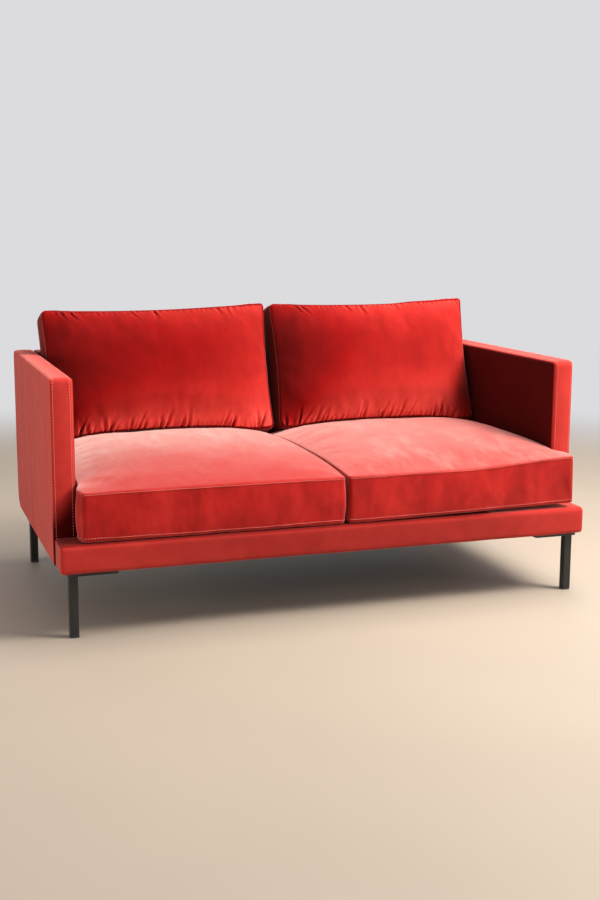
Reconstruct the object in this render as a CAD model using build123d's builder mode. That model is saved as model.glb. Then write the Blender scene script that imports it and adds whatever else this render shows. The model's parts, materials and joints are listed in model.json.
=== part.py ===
from build123d import *

import os
from math import cos, radians, sin, tan

os.makedirs("parts", exist_ok=True)

# A two-seat settee with loose boxed cushions, thin arms, a raked back and bar legs.
# Millimetres, +Z up, front towards -Y, origin on the floor under the middle.
# Left and right are as seen by someone who faces the front.

# Overall sizes
width = 1600.0
depth = 940.0
arm_height = 705.0
leg_height = 183.0
base_height = 82.0
arm_thickness = 65.0
arm_setback = 103.0
back_top_depth = 105.0
back_rake = 17.0

# Upholstery layers and their soft edges
cover_t = 2.5
pad_t = 8.0
board_t = 3.0
soft_edge = 6.0
fill_edge = 4.0
nose_radius = 14.0
arm_front_radius = 10.0
arm_rear_radius = 30.0
base_rear_radius = 58.0
back_front_radius = 15.0
arm_hem = 12.0
back_hem = 15.0

# Timber
rail_t = 27.0
front_board_t = 18.0
ledge_t = 12.0
block_length = 150.0
corner_block_length = 70.0
corner_block_width = 50.0
corner_block_drop = 10.0
rear_rail_w = 56.0
spring_rail_w = 60.0
spring_rail_h = 40.0
spring_rail_lap = 15.0
centre_rail_h = 42.0
post_w = 45.0
arm_rail_h = 40.0
tenon_t = 12.0
tenon_w = 26.0
tenon_length = 22.0
rib_t = 18.0
rib_border = 32.0
rib_margin = 20.0
back_rail_w = 30.0
back_rail_h = 55.0
strap_t = 1.5
strap_w = 50.0
strap_count = 6

# Seat deck, from the clips up
clip_t = 1.0
clip_w = 16.0
wire_d = 3.6
insulator_t = 1.5
deck_pad_t = 6.0
deck_cloth_t = 1.5
spring_count = 8
spring_bars = 8
spring_width = 52.0

# Seat cushions
seat_front = 8.0
seat_lip = 10.0
seat_lip_run = 22.0
seat_boxing = 127.0
seat_bulge = 7.0
seat_crown = 45.0
seat_crown_fall = 14.0
seat_rear_rise = 40.0
seat_corner = 24.0
seat_drawn_in = 4.0

# Back cushions, in their own leaning plane
back_border = 116.0
back_cushion_height = 408.0
back_ear = 11.0
back_crown = 44.0
back_crown_fall = 28.0
back_settle = 24.0
back_gap = 9.0
back_drawn_in = 9.0
back_corner = 14.0

# Cushion covers
zip_length = 420.0
zip_w = 20.0
zip_height = 75.0

# Legs
leg_size = 25.0
leg_wall = 2.0
leg_corner = 3.0
leg_inset = 25.0
leg_front_inset = 24.0
leg_rear_inset = 57.5
glide_t = 5.0
glide_plug = 18.0
plate_t = 6.0
plate_length = 140.0
plate_w = 56.0
plate_overhang = 5.0
plate_corner = 6.0

# Bolts
leg_bolt_d = 6.0
leg_bolt_length = 48.0
leg_bolt_count = 2
leg_bolt_pitch = 60.0
leg_bolt_margin = 18.0
leg_bolt_offset = 16.0
arm_bolt_d = 8.0
arm_bolt_length = 66.0
arm_bolt_margin = 60.0
head_ratio = 1.7
head_t = 4.0
bolt_sides = 6

# Clearances
fit = 0.3
cushion_gap = 0.4

# Places worked out from the sizes above
half = width / 2
front = -depth / 2
rear = depth / 2
arm_inner = half - arm_thickness
arm_front = front + arm_setback
base_top = leg_height + base_height
layer_t = cover_t + pad_t
frame_bottom = leg_height + cover_t
rake = radians(back_rake)
deck_bottom = base_top - deck_cloth_t - deck_pad_t - insulator_t
rail_top = deck_bottom - wire_d - clip_t
rail_inner = arm_inner - rail_t
rear_face = rear - layer_t - board_t
rear_rail_front = rear_face - rear_rail_w
arm_timber_in = arm_inner + layer_t + board_t
arm_timber_out = half - layer_t - board_t
arm_timber_top = arm_height - layer_t
arm_timber_front = arm_front + layer_t
arm_timber_rear = rear - layer_t
arm_rail_bottom = arm_timber_top - arm_rail_h


def back_face(z, inset=0.0):
    """Y of the raked inside back at height z, moved back by inset square to the face."""
    return rear - back_top_depth - (arm_height - z) * tan(rake) + inset / cos(rake)


def keep(part, name):
    """Label a finished piece and write it to its own file."""
    part.label = name
    export_step(part, f"parts/{name}.step")


def keep_pair(part, name):
    """Keep a right-hand piece, and its mirror image on the left."""
    keep(part, f"right_{name}")
    keep(mirror(part, about=Plane.YZ), f"left_{name}")


def rounded_outline(plane, corners):
    """Closed face on a plane through corners (u, v, radius), rounded where the radius isn't zero."""
    with BuildSketch(plane) as outline:
        with BuildLine():
            Polyline([(u, v) for u, v, radius in corners], close=True)
        make_face()
        for u, v, radius in corners:
            if radius > 0:
                fillet(outline.vertices().sort_by_distance((u, v))[0], radius=radius)
    return outline.sketch


def block(x_range, y_range, z_range):
    """Rectangular piece between three pairs of limits."""
    with BuildPart() as piece:
        with BuildSketch(Plane.XY.offset(z_range[0])):
            with Locations(((x_range[0] + x_range[1]) / 2, (y_range[0] + y_range[1]) / 2)):
                Rectangle(x_range[1] - x_range[0], y_range[1] - y_range[0])
        extrude(amount=z_range[1] - z_range[0])
    return piece.part


def inner_radius(radius, inset):
    """Radius of a corner that is drawn in by inset, or zero where nothing is left of it."""
    return max(radius - inset, 0.0)


def arm_outline(x, inset, bottom_inset):
    """Side outline of an arm, drawn in by inset, and by bottom_inset at the foot."""
    return rounded_outline(
        Plane.YZ.offset(x),
        [
            (arm_front + inset, leg_height + bottom_inset, 0),
            (rear - inset, leg_height + bottom_inset, inner_radius(base_rear_radius, inset)),
            (rear - inset, arm_height - inset, inner_radius(arm_rear_radius, inset)),
            (arm_front + inset, arm_height - inset, inner_radius(arm_front_radius, inset)),
        ],
    )


def back_outline(inset, bottom_inset, front_radius):
    """Side outline of the back, drawn in by inset, from its foot on the deck to its hem below."""
    top = arm_height - inset
    bottom = leg_height + bottom_inset
    hem = rear - base_rear_radius - back_hem
    return rounded_outline(
        Plane.YZ.offset(-arm_inner),
        [
            (back_face(rail_top, inset), rail_top, 0),
            (hem, rail_top, 0),
            (hem, bottom, 0),
            (rear - inset, bottom, inner_radius(base_rear_radius, inset)),
            (rear - inset, top, inner_radius(arm_rear_radius, inset)),
            (back_face(top, inset), top, front_radius),
        ],
    )


def bolt(plane, diameter, length):
    """Bolt whose head sits under the plane's origin and whose shank runs along its normal."""
    with BuildPart() as piece:
        with BuildSketch(plane.offset(-head_t)):
            RegularPolygon(radius=head_ratio * diameter / 2, side_count=6)
        extrude(amount=head_t)
        with BuildSketch(plane):
            RegularPolygon(radius=diameter / 2, side_count=bolt_sides)
        extrude(amount=length)
    return piece.part


def bore(plane, diameter, length):
    """Clearance hole for a bolt that starts a little under the plane's origin."""
    with BuildPart() as piece:
        with BuildSketch(plane.offset(-fit)):
            RegularPolygon(radius=diameter / 2 + fit, side_count=bolt_sides)
        extrude(amount=length + 2 * fit)
    return piece.part


# Legs: a square tube welded to a plate that runs inboard under the base
leg_x = half - leg_inset - leg_size / 2
leg_front_y = front + leg_front_inset + leg_size / 2
leg_rear_y = rear - leg_rear_inset - leg_size / 2
plate_out = leg_x + leg_size / 2 + plate_overhang
plate_in = plate_out - plate_length
plate_bottom = leg_height - plate_t


def leg_bolt_planes(leg_y, inward):
    """Underside of the plate at each of one leg's bolts; inward points to the middle of the settee."""
    y = leg_y + inward * leg_bolt_offset
    xs = [plate_in + leg_bolt_margin + index * leg_bolt_pitch for index in range(leg_bolt_count)]
    return [Plane((x, y, plate_bottom)) for x in xs]


def leg_bores(leg_y, inward):
    """Clearance holes for one right-hand leg's bolts."""
    with BuildPart() as holes:
        for plane in leg_bolt_planes(leg_y, inward):
            add(bore(plane, leg_bolt_d, leg_bolt_length))
    return holes.part


def leg(leg_y, inward):
    """Right-hand leg."""
    with BuildPart() as piece:
        with BuildSketch(Plane.XY.offset(glide_t)):
            with Locations((leg_x, leg_y)):
                RectangleRounded(leg_size, leg_size, leg_corner)
                Rectangle(leg_size - 2 * leg_wall, leg_size - 2 * leg_wall, mode=Mode.SUBTRACT)
        extrude(amount=plate_bottom - glide_t)
        with BuildSketch(Plane.XY.offset(plate_bottom)) as plate:
            with Locations(((plate_in + plate_out) / 2, leg_y)):
                Rectangle(plate_length, plate_w)
            chamfer(plate.vertices(), length=plate_corner)
        extrude(amount=plate_t)
        add(leg_bores(leg_y, inward), mode=Mode.SUBTRACT)
    return piece.part


def glide(leg_y):
    """Right-hand foot glide with a plug that pushes up into the tube."""
    plug_size = leg_size - 2 * leg_wall - 2 * fit
    with BuildPart() as piece:
        with BuildSketch() as foot:
            with Locations((leg_x, leg_y)):
                Rectangle(leg_size, leg_size)
            chamfer(foot.vertices(), length=leg_corner)
        extrude(amount=glide_t)
        with BuildSketch(Plane.XY.offset(glide_t)):
            with Locations((leg_x, leg_y)):
                Rectangle(plug_size, plug_size)
        extrude(amount=glide_plug)
    return piece.part


leg_places = {"front": (leg_front_y, 1), "rear": (leg_rear_y, -1)}

with BuildPart() as leg_holes:
    for leg_y, inward in leg_places.values():
        add(leg_bores(leg_y, inward))
    mirror(about=Plane.YZ)

for end, (leg_y, inward) in leg_places.items():
    right_leg = leg(leg_y, inward)
    keep(right_leg, f"{end}_right_leg")
    keep(mirror(right_leg, about=Plane.YZ), f"{end}_left_leg")

with BuildPart() as leg_glides:
    for leg_y, inward in leg_places.values():
        add(glide(leg_y))
    mirror(about=Plane.YZ)
keep(leg_glides.part, "leg_glides")

with BuildPart() as leg_bolts:
    for leg_y, inward in leg_places.values():
        for plane in leg_bolt_planes(leg_y, inward):
            add(bolt(plane, leg_bolt_d, leg_bolt_length))
    mirror(about=Plane.YZ)
keep(leg_bolts.part, "leg_bolts")


# Bolts from the seat rails into the arms, heads inside the seat frame, clear of its cross pieces
cross_rail_rear = arm_front + rail_t
spring_rail_front = back_face(rail_top) + spring_rail_lap - spring_rail_w
spring_rail_rear = spring_rail_front + spring_rail_w
arm_bolt_z = (frame_bottom + rail_top) / 2
arm_bolt_places = (
    cross_rail_rear + corner_block_width + arm_bolt_margin,
    spring_rail_front - arm_bolt_margin,
    (spring_rail_rear + rear_rail_front - corner_block_width) / 2,
)
arm_bolt_planes = [Plane((rail_inner, y, arm_bolt_z), z_dir=(1, 0, 0)) for y in arm_bolt_places]

with BuildPart() as arm_holes:
    for plane in arm_bolt_planes:
        add(bore(plane, arm_bolt_d, arm_bolt_length))

with BuildPart() as arm_bolts:
    for plane in arm_bolt_planes:
        add(bolt(plane, arm_bolt_d, arm_bolt_length))
    mirror(about=Plane.YZ)
keep(arm_bolts.part, "arm_bolts")


# Front rail: a boxed nose in front of the arms, padded and covered
ledge_top = base_top - layer_t
ledge_bottom = ledge_top - ledge_t
nose_out = half - layer_t
nose_front = front + layer_t
board_rear = nose_front + front_board_t

with BuildPart() as front_rail_board:
    board_section = rounded_outline(
        Plane.YZ.offset(-nose_out),
        [
            (nose_front, frame_bottom, inner_radius(nose_radius, layer_t)),
            (board_rear, frame_bottom, 0),
            (board_rear, ledge_bottom, 0),
            (nose_front, ledge_bottom, 0),
        ],
    )
    extrude(board_section, amount=2 * nose_out)
keep(front_rail_board.part, "front_rail_board")

front_rail_ledge = block((-nose_out, nose_out), (nose_front, arm_front), (ledge_bottom, ledge_top))
keep(front_rail_ledge, "front_rail_ledge")

with BuildPart() as front_rail_blocks:
    with BuildSketch(Plane.XY.offset(frame_bottom)):
        for x in (-nose_out + block_length / 2, 0, nose_out - block_length / 2):
            with Locations((x, (board_rear + arm_front) / 2)):
                Rectangle(block_length, arm_front - board_rear)
    extrude(amount=ledge_bottom - frame_bottom)
    add(leg_holes.part, mode=Mode.SUBTRACT)
keep(front_rail_blocks.part, "front_rail_blocks")


def nose_fill(inset, run, edge):
    """Front rail drawn in by inset, carried on by run past its rear side, with cut ends."""
    out = half - inset
    with BuildPart() as piece:
        section = rounded_outline(
            Plane.YZ.offset(-out),
            [
                (front + inset, leg_height + inset, inner_radius(nose_radius, inset)),
                (arm_front + run, leg_height + inset, 0),
                (arm_front + run, base_top - inset, 0),
                (front + inset, base_top - inset, inner_radius(nose_radius, inset)),
            ],
        )
        extrude(section, amount=2 * out)
        ends = piece.faces().filter_by(Axis.X)
        shown = [line for face in ends for line in face.edges().sort_by(Axis.Y)[:-1]]
        chamfer(shown, length=edge)
    return piece.part


with BuildPart() as front_rail_cover:
    add(nose_fill(0, 0, soft_edge))
    add(nose_fill(cover_t, arm_setback, fill_edge), mode=Mode.SUBTRACT)
    add(leg_holes.part, mode=Mode.SUBTRACT)
keep(front_rail_cover.part, "front_rail_cover")

with BuildPart() as front_rail_foam:
    add(nose_fill(cover_t, 0, fill_edge))
    add(block((-nose_out, nose_out), (nose_front, rear), (0, ledge_top)), mode=Mode.SUBTRACT)
keep(front_rail_foam.part, "front_rail_foam")


# Seat frame between the arms
front_cross_rail = block((-arm_inner, arm_inner), (arm_front, cross_rail_rear), (frame_bottom, rail_top))
keep(front_cross_rail, "front_cross_rail")

with BuildPart() as seat_rail:
    add(block((rail_inner, arm_inner), (cross_rail_rear, rear_rail_front), (frame_bottom, rail_top)))
    add(arm_holes.part, mode=Mode.SUBTRACT)
    add(leg_holes.part, mode=Mode.SUBTRACT)
keep_pair(seat_rail.part, "seat_rail")

with BuildPart() as rear_seat_rail:
    rear_rail_section = rounded_outline(
        Plane.YZ.offset(-arm_inner),
        [
            (rear_rail_front, frame_bottom, 0),
            (rear_face, frame_bottom, inner_radius(base_rear_radius, rear - rear_face)),
            (rear_face, rail_top, 0),
            (rear_rail_front, rail_top, 0),
        ],
    )
    extrude(rear_rail_section, amount=2 * arm_inner)
keep(rear_seat_rail.part, "rear_seat_rail")

spring_rail = block(
    (-rail_inner, rail_inner),
    (spring_rail_front, spring_rail_rear),
    (rail_top - spring_rail_h, rail_top),
)
keep(spring_rail, "spring_rail")

centre_seat_rail = block(
    (-rail_t / 2, rail_t / 2),
    (cross_rail_rear, spring_rail_front),
    (frame_bottom, frame_bottom + centre_rail_h),
)
keep(centre_seat_rail, "centre_seat_rail")

with BuildPart() as corner_blocks:
    corner_x = rail_inner - corner_block_length / 2
    with BuildSketch(Plane.XY.offset(frame_bottom)):
        for y in (cross_rail_rear + corner_block_width / 2, rear_rail_front - corner_block_width / 2):
            with Locations((corner_x, y), (-corner_x, y)):
                Rectangle(corner_block_length, corner_block_width)
    extrude(amount=rail_top - corner_block_drop - frame_bottom)
    add(leg_holes.part, mode=Mode.SUBTRACT)
keep(corner_blocks.part, "corner_blocks")

with BuildPart() as dust_cover:
    dust_rear = rear - base_rear_radius - back_hem
    add(block((-arm_inner, arm_inner), (arm_front, dust_rear), (leg_height, frame_bottom)))
    add(leg_holes.part, mode=Mode.SUBTRACT)
keep(dust_cover.part, "dust_cover")


# Seat deck: flat sinuous springs in clips, felt, pad and cloth
wire_bottom = rail_top + clip_t
spring_front = cross_rail_rear - clip_w / 2
spring_rear = spring_rail_front + clip_w / 2
spring_pitch = (spring_rear - spring_front) / (spring_bars - 1)
spring_spacing = 2 * rail_inner / spring_count
spring_places = [(index + 0.5) * spring_spacing - rail_inner for index in range(spring_count)]

with BuildPart() as seat_springs:
    spring_reach = (spring_width - wire_d) / 2
    with BuildSketch(Plane.XY.offset(wire_bottom)):
        for bar in range(spring_bars):
            with Locations((0, spring_front + bar * spring_pitch)):
                Rectangle(spring_width, wire_d)
        for turn in range(spring_bars - 1):
            side = spring_reach if turn % 2 == 0 else -spring_reach
            with Locations((side, spring_front + (turn + 0.5) * spring_pitch)):
                Rectangle(wire_d, spring_pitch)
    spring_wire = extrude(amount=wire_d, mode=Mode.PRIVATE)
    with Locations([(x, 0, 0) for x in spring_places]):
        add(spring_wire)
keep(seat_springs.part, "seat_springs")

with BuildPart() as spring_clips:
    clip_bed = wire_d / 2 + fit
    for y in (spring_front, spring_rear):
        for x in spring_places:
            with BuildSketch(Plane.YZ.offset(x - clip_w / 2)):
                with Locations((y, rail_top + (clip_t + wire_d) / 2)):
                    Rectangle(2 * (clip_bed + clip_t), clip_t + wire_d)
                with Locations((y, wire_bottom + wire_d / 2)):
                    Rectangle(2 * clip_bed, wire_d, mode=Mode.SUBTRACT)
            extrude(amount=clip_w)
keep(spring_clips.part, "spring_clips")

deck_x = (fit - arm_inner, arm_inner - fit)
deck_y = (arm_front + fit, back_face(rail_top) - fit)
pad_bottom = deck_bottom + insulator_t
cloth_bottom = pad_bottom + deck_pad_t

spring_insulator = block(deck_x, deck_y, (deck_bottom, pad_bottom))
keep(spring_insulator, "spring_insulator")

deck_pad = block(deck_x, deck_y, (pad_bottom, cloth_bottom))
keep(deck_pad, "deck_pad")

deck_cloth = block(deck_x, deck_y, (cloth_bottom, base_top))
keep(deck_cloth, "deck_cloth")


# Arms: a tenoned timber frame, skinned, padded and covered
mid_timber = (arm_timber_in + arm_timber_out) / 2
timber_t = arm_timber_out - arm_timber_in
front_post_rear = arm_timber_front + post_w
rear_post_front = arm_timber_rear - post_w
bottom_tenon_z = (frame_bottom + rail_top) / 2


def bottom_tenons(clearance):
    """Tenons at both ends of an arm's bottom rail, or their mortises with a clearance."""
    across = tenon_t / 2 + clearance
    tall = tenon_w / 2 + clearance
    return block(
        (mid_timber - across, mid_timber + across),
        (front_post_rear - tenon_length - clearance, rear_post_front + tenon_length + clearance),
        (bottom_tenon_z - tall, bottom_tenon_z + tall),
    )


def post_tenon(post_front, clearance):
    """Tenon on top of an arm post, or its mortise with a clearance."""
    across = tenon_t / 2 + clearance
    wide = tenon_w / 2 + clearance
    middle = post_front + post_w / 2
    return block(
        (mid_timber - across, mid_timber + across),
        (middle - wide, middle + wide),
        (arm_rail_bottom - 2 * fit, arm_rail_bottom + tenon_length + clearance),
    )


def arm_post(post_front):
    """Right-hand arm post between the foot and the top rail, trimmed to the arm's outline."""
    with BuildPart() as piece:
        add(
            block(
                (arm_timber_in, arm_timber_out),
                (post_front, post_front + post_w),
                (frame_bottom, arm_rail_bottom),
            )
        )
        add(post_tenon(post_front, 0))
        add(bottom_tenons(fit), mode=Mode.SUBTRACT)
        extrude(arm_outline(arm_timber_in, layer_t, cover_t), amount=timber_t, mode=Mode.INTERSECT)
    return piece.part


keep_pair(arm_post(arm_timber_front), "arm_front_post")
keep_pair(arm_post(rear_post_front), "arm_rear_post")

with BuildPart() as arm_top_rail:
    extrude(arm_outline(arm_timber_in, layer_t, cover_t), amount=timber_t)
    add(
        block((arm_timber_in, arm_timber_out), (front, rear), (0, arm_rail_bottom)),
        mode=Mode.SUBTRACT,
    )
    add(post_tenon(arm_timber_front, fit), mode=Mode.SUBTRACT)
    add(post_tenon(rear_post_front, fit), mode=Mode.SUBTRACT)
keep_pair(arm_top_rail.part, "arm_top_rail")

with BuildPart() as arm_bottom_rail:
    add(
        block(
            (arm_timber_in, arm_timber_out),
            (front_post_rear, rear_post_front),
            (frame_bottom, rail_top),
        )
    )
    add(bottom_tenons(0))
    extrude(arm_outline(arm_timber_in, layer_t, cover_t), amount=timber_t, mode=Mode.INTERSECT)
    add(arm_holes.part, mode=Mode.SUBTRACT)
keep_pair(arm_bottom_rail.part, "arm_bottom_rail")

with BuildPart() as arm_panels:
    extrude(arm_outline(arm_inner + layer_t, layer_t, cover_t), amount=board_t)
    extrude(arm_outline(arm_timber_out, layer_t, cover_t), amount=board_t)
    add(arm_holes.part, mode=Mode.SUBTRACT)
keep_pair(arm_panels.part, "arm_panels")


def side_edges(arm):
    """Edges round both side faces of an arm."""
    faces = arm.faces().sort_by(Axis.X)
    return faces[0].edges() + faces[-1].edges()


def arm_fill():
    """Space inside an arm cover, with its edges cut to the soft shape."""
    with BuildPart() as fill:
        extrude(arm_outline(arm_inner + cover_t, cover_t, cover_t), amount=arm_thickness - 2 * cover_t)
        chamfer(side_edges(fill), length=fill_edge)
    return fill.part


with BuildPart() as arm_foam:
    add(arm_fill())
    extrude(
        arm_outline(arm_inner + layer_t, layer_t, 0),
        amount=arm_thickness - 2 * layer_t,
        mode=Mode.SUBTRACT,
    )
    add(arm_holes.part, mode=Mode.SUBTRACT)
keep_pair(arm_foam.part, "arm_foam")

with BuildPart() as arm_cover:
    extrude(arm_outline(arm_inner, 0, 0), amount=arm_thickness)
    chamfer(side_edges(arm_cover), length=soft_edge)
    add(arm_fill(), mode=Mode.SUBTRACT)
    slot_rear = rear - base_rear_radius
    add(
        block(
            (arm_inner + arm_hem, half - arm_hem),
            (arm_front + arm_hem, slot_rear),
            (0, frame_bottom),
        ),
        mode=Mode.SUBTRACT,
    )
    add(arm_holes.part, mode=Mode.SUBTRACT)
keep_pair(arm_cover.part, "arm_cover")


# Raked back: ribs, rails let into them, straps, a rear board, pad and cover
back_frame_inset = layer_t + strap_t
back_frame_top = arm_height - layer_t


def raked_bar(low, high, run):
    """Section of a rail behind the raked face, from height low to high and run deep."""
    return rounded_outline(
        Plane.YZ.offset(-arm_inner),
        [
            (back_face(low, back_frame_inset), low, 0),
            (back_face(low, back_frame_inset) + run, low, 0),
            (back_face(high, back_frame_inset) + run, high, 0),
            (back_face(high, back_frame_inset), high, 0),
        ],
    )


with BuildPart() as back_top_rail:
    extrude(raked_bar(back_frame_top - back_rail_h, back_frame_top, back_rail_w), amount=2 * arm_inner)
keep(back_top_rail.part, "back_top_rail")

with BuildPart() as back_lower_rail:
    extrude(raked_bar(rail_top, rail_top + back_rail_h, back_rail_w), amount=2 * arm_inner)
keep(back_lower_rail.part, "back_lower_rail")


def rib(x):
    """Back rib cut from sheet, with a window, and notches for the two rails."""
    window_low = rail_top + back_rail_h + rib_margin
    window_high = back_frame_top - back_rail_h - rib_margin
    window_inset = back_frame_inset + rib_border
    window_rear = rear_face - rib_border
    plane = Plane.YZ.offset(x)
    with BuildPart() as piece:
        outline = rounded_outline(
            plane,
            [
                (back_face(rail_top, back_frame_inset), rail_top, 0),
                (rear_face, rail_top, 0),
                (rear_face, back_frame_top, inner_radius(arm_rear_radius, rear - rear_face)),
                (back_face(back_frame_top, back_frame_inset), back_frame_top, 0),
            ],
        )
        extrude(outline, amount=rib_t)
        window = rounded_outline(
            plane,
            [
                (back_face(window_low, window_inset), window_low, 0),
                (window_rear, window_low, 0),
                (window_rear, window_high, 0),
                (back_face(window_high, window_inset), window_high, 0),
            ],
        )
        extrude(window, amount=rib_t, mode=Mode.SUBTRACT)
        add(back_top_rail.part, mode=Mode.SUBTRACT)
        add(back_lower_rail.part, mode=Mode.SUBTRACT)
    return piece.part


with BuildPart() as back_ribs:
    for x in (-arm_inner, -rib_t / 2, arm_inner - rib_t):
        add(rib(x))
keep(back_ribs.part, "back_ribs")

with BuildPart() as back_webbing:
    strap_pitch = 2 * (arm_inner - rib_t) / strap_count
    for index in range(strap_count):
        x = (index + 0.5) * strap_pitch - arm_inner + rib_t - strap_w / 2
        strap = rounded_outline(
            Plane.YZ.offset(x),
            [
                (back_face(rail_top, layer_t), rail_top, 0),
                (back_face(rail_top, back_frame_inset), rail_top, 0),
                (back_face(back_frame_top, back_frame_inset), back_frame_top, 0),
                (back_face(back_frame_top, layer_t), back_frame_top, 0),
            ],
        )
        extrude(strap, amount=strap_w)
keep(back_webbing.part, "back_webbing")

back_panel = block(
    (-arm_inner, arm_inner),
    (rear_face, rear - layer_t),
    (leg_height + base_rear_radius, arm_height - arm_rear_radius),
)
keep(back_panel, "back_panel")

back_fill = back_outline(cover_t, cover_t, inner_radius(back_front_radius, cover_t))

with BuildPart() as back_foam:
    extrude(back_fill, amount=2 * arm_inner)
    extrude(back_outline(layer_t, cover_t, 0), amount=2 * arm_inner, mode=Mode.SUBTRACT)
keep(back_foam.part, "back_foam")

with BuildPart() as back_cover:
    extrude(back_outline(0, 0, back_front_radius), amount=2 * arm_inner)
    extrude(back_fill, amount=2 * arm_inner, mode=Mode.SUBTRACT)
keep(back_cover.part, "back_cover")


# Seat cushions: boxed, crowned, drawn in at the sides
seat_bottom = base_top + cushion_gap
seat_seam = seat_bottom + seat_lip + seat_boxing
seat_rear_top = seat_seam + seat_rear_rise
seat_face = front + seat_front
seat_back = back_face(base_top) - cushion_gap
seat_inner = cushion_gap
seat_outer = arm_inner - cushion_gap
section_places = (-1.0, -0.5, 0.0, 0.5, 1.0)


def seat_form(inset):
    """Outer shape of the right seat cushion, drawn in by inset."""
    face = seat_face + inset
    back = seat_back - inset
    bottom = seat_bottom + inset
    lip = seat_bottom + seat_lip + inset
    seam = seat_seam - inset
    rear_top = seat_rear_top - inset
    inner = seat_inner + inset
    outer = seat_outer - inset
    tip = face - seat_bulge
    middle = (inner + outer) / 2
    reach = (outer - inner) / 2
    with BuildPart() as form:
        for place in section_places:
            crown = seat_crown - seat_crown_fall * place**2
            apex = ((face + back) / 2, (seam + rear_top) / 2 + crown)
            with BuildSketch(Plane.YZ.offset(middle + place * reach)):
                with BuildLine():
                    Line((back, bottom), (face + seat_lip_run, bottom))
                    Line((face + seat_lip_run, bottom), (face, lip))
                    ThreePointArc((face, lip), (tip, (lip + seam) / 2), (face, seam))
                    ThreePointArc((face, seam), apex, (back, rear_top))
                    Line((back, rear_top), (back, bottom))
                make_face()
        loft()
        with BuildSketch(Plane.XY.offset(bottom)) as plan:
            with BuildLine():
                ThreePointArc((inner, back), (inner + seat_drawn_in, (back + tip) / 2), (inner, tip))
                Line((inner, tip), (outer, tip))
                ThreePointArc((outer, tip), (outer - seat_drawn_in, (back + tip) / 2), (outer, back))
                Line((outer, back), (inner, back))
            make_face()
            fillet(plan.vertices().sort_by(Axis.Y)[:2], radius=seat_corner)
        extrude(amount=seat_lip + seat_boxing + seat_rear_rise + 2 * seat_crown, mode=Mode.INTERSECT)
    return form.part


def seat_core(inset):
    """Cut foam core of the right seat cushion, or its space in the cover, drawn in by inset."""
    face = seat_face + inset
    back = seat_back - inset
    bottom = seat_bottom + inset
    seam = seat_seam - inset
    rear_top = seat_rear_top - inset
    crown = seat_crown - seat_crown_fall - inset
    inner = seat_inner + seat_drawn_in + inset
    outer = seat_outer - seat_drawn_in - inset
    apex = ((face + back) / 2, (seam + rear_top) / 2 + crown)
    with BuildPart() as core:
        with BuildSketch(Plane.YZ.offset(inner)):
            with BuildLine():
                Line((back, bottom), (face + seat_lip_run, bottom))
                Line((face + seat_lip_run, bottom), (face, bottom + seat_lip))
                Line((face, bottom + seat_lip), (face, seam))
                ThreePointArc((face, seam), apex, (back, rear_top))
                Line((back, rear_top), (back, bottom))
            make_face()
        extrude(amount=outer - inner)
        chamfer(core.edges().filter_by(Axis.Z).group_by(Axis.Y)[0], length=seat_corner / 2)
    return core.part


def hollow(form, cavity, zip_space):
    """Cover of a cushion with its fibre wrap: the outer shape less the core, open where the zip goes."""
    with BuildPart() as cover:
        add(form)
        add(cavity, mode=Mode.SUBTRACT)
        add(zip_space, mode=Mode.SUBTRACT)
    return cover.part


def seat_zip(clearance):
    """Zip in the rear border of a seat cushion, or its opening with a clearance."""
    middle = (seat_inner + seat_outer) / 2
    height = (seat_bottom + seat_rear_top) / 2
    return block(
        (middle - zip_length / 2 - clearance, middle + zip_length / 2 + clearance),
        (seat_back - cover_t - clearance, seat_back + clearance),
        (height - zip_w / 2 - clearance, height + zip_w / 2 + clearance),
    )


keep_pair(hollow(seat_form(0), seat_core(cover_t), seat_zip(fit)), "seat_cushion_cover")
keep_pair(seat_core(cover_t + fit), "seat_cushion_core")
keep_pair(seat_zip(0), "seat_cushion_zip")


# Back cushions: boxed and crowned, leaning on the raked back, standing on the seat cushions
back_foot_z = seat_rear_top - back_settle
back_foot_y = back_face(back_foot_z) - cushion_gap / cos(rake)
back_inner = back_gap
back_outer = arm_inner - cushion_gap
lean_x = (0, cos(rake), -sin(rake))
lean_out = (0, -cos(rake), sin(rake))


def back_form(inset):
    """Outer shape of the right back cushion, drawn in by inset and seated on the seat cushion."""
    inner = back_inner + inset
    outer = back_outer - inset
    middle = (inner + outer) / 2
    reach = (outer - inner) / 2
    seam = inset - back_border
    with BuildPart() as form:
        for place in section_places:
            crown = back_crown - back_crown_fall * place**2
            top = back_cushion_height + back_ear * place**2 - inset
            foot = (middle + place * reach, back_foot_y, back_foot_z)
            with BuildSketch(Plane(foot, x_dir=lean_x, z_dir=(1, 0, 0))):
                with BuildLine():
                    Line((-inset, inset), (-inset, top))
                    Line((-inset, top), (seam, top))
                    ThreePointArc((seam, top), (seam - crown, (top + inset) / 2), (seam, inset))
                    Line((seam, inset), (-inset, inset))
                make_face()
        loft()
        facing = Plane((0, back_foot_y, back_foot_z), x_dir=(1, 0, 0), z_dir=lean_out)
        high = back_cushion_height + back_ear
        with BuildSketch(facing) as outline:
            with BuildLine():
                Line((inner, 0), (outer, 0))
                ThreePointArc((outer, 0), (outer - back_drawn_in, high / 2), (outer, high))
                Line((outer, high), (inner, high))
                ThreePointArc((inner, high), (inner + back_drawn_in, high / 2), (inner, 0))
            make_face()
            fillet(outline.vertices().sort_by(Axis.Y)[2:], radius=back_corner)
        extrude(amount=back_border + 2 * back_crown, mode=Mode.INTERSECT)
        add(seat_form(-cushion_gap - inset), mode=Mode.SUBTRACT)
    return form.part


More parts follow.
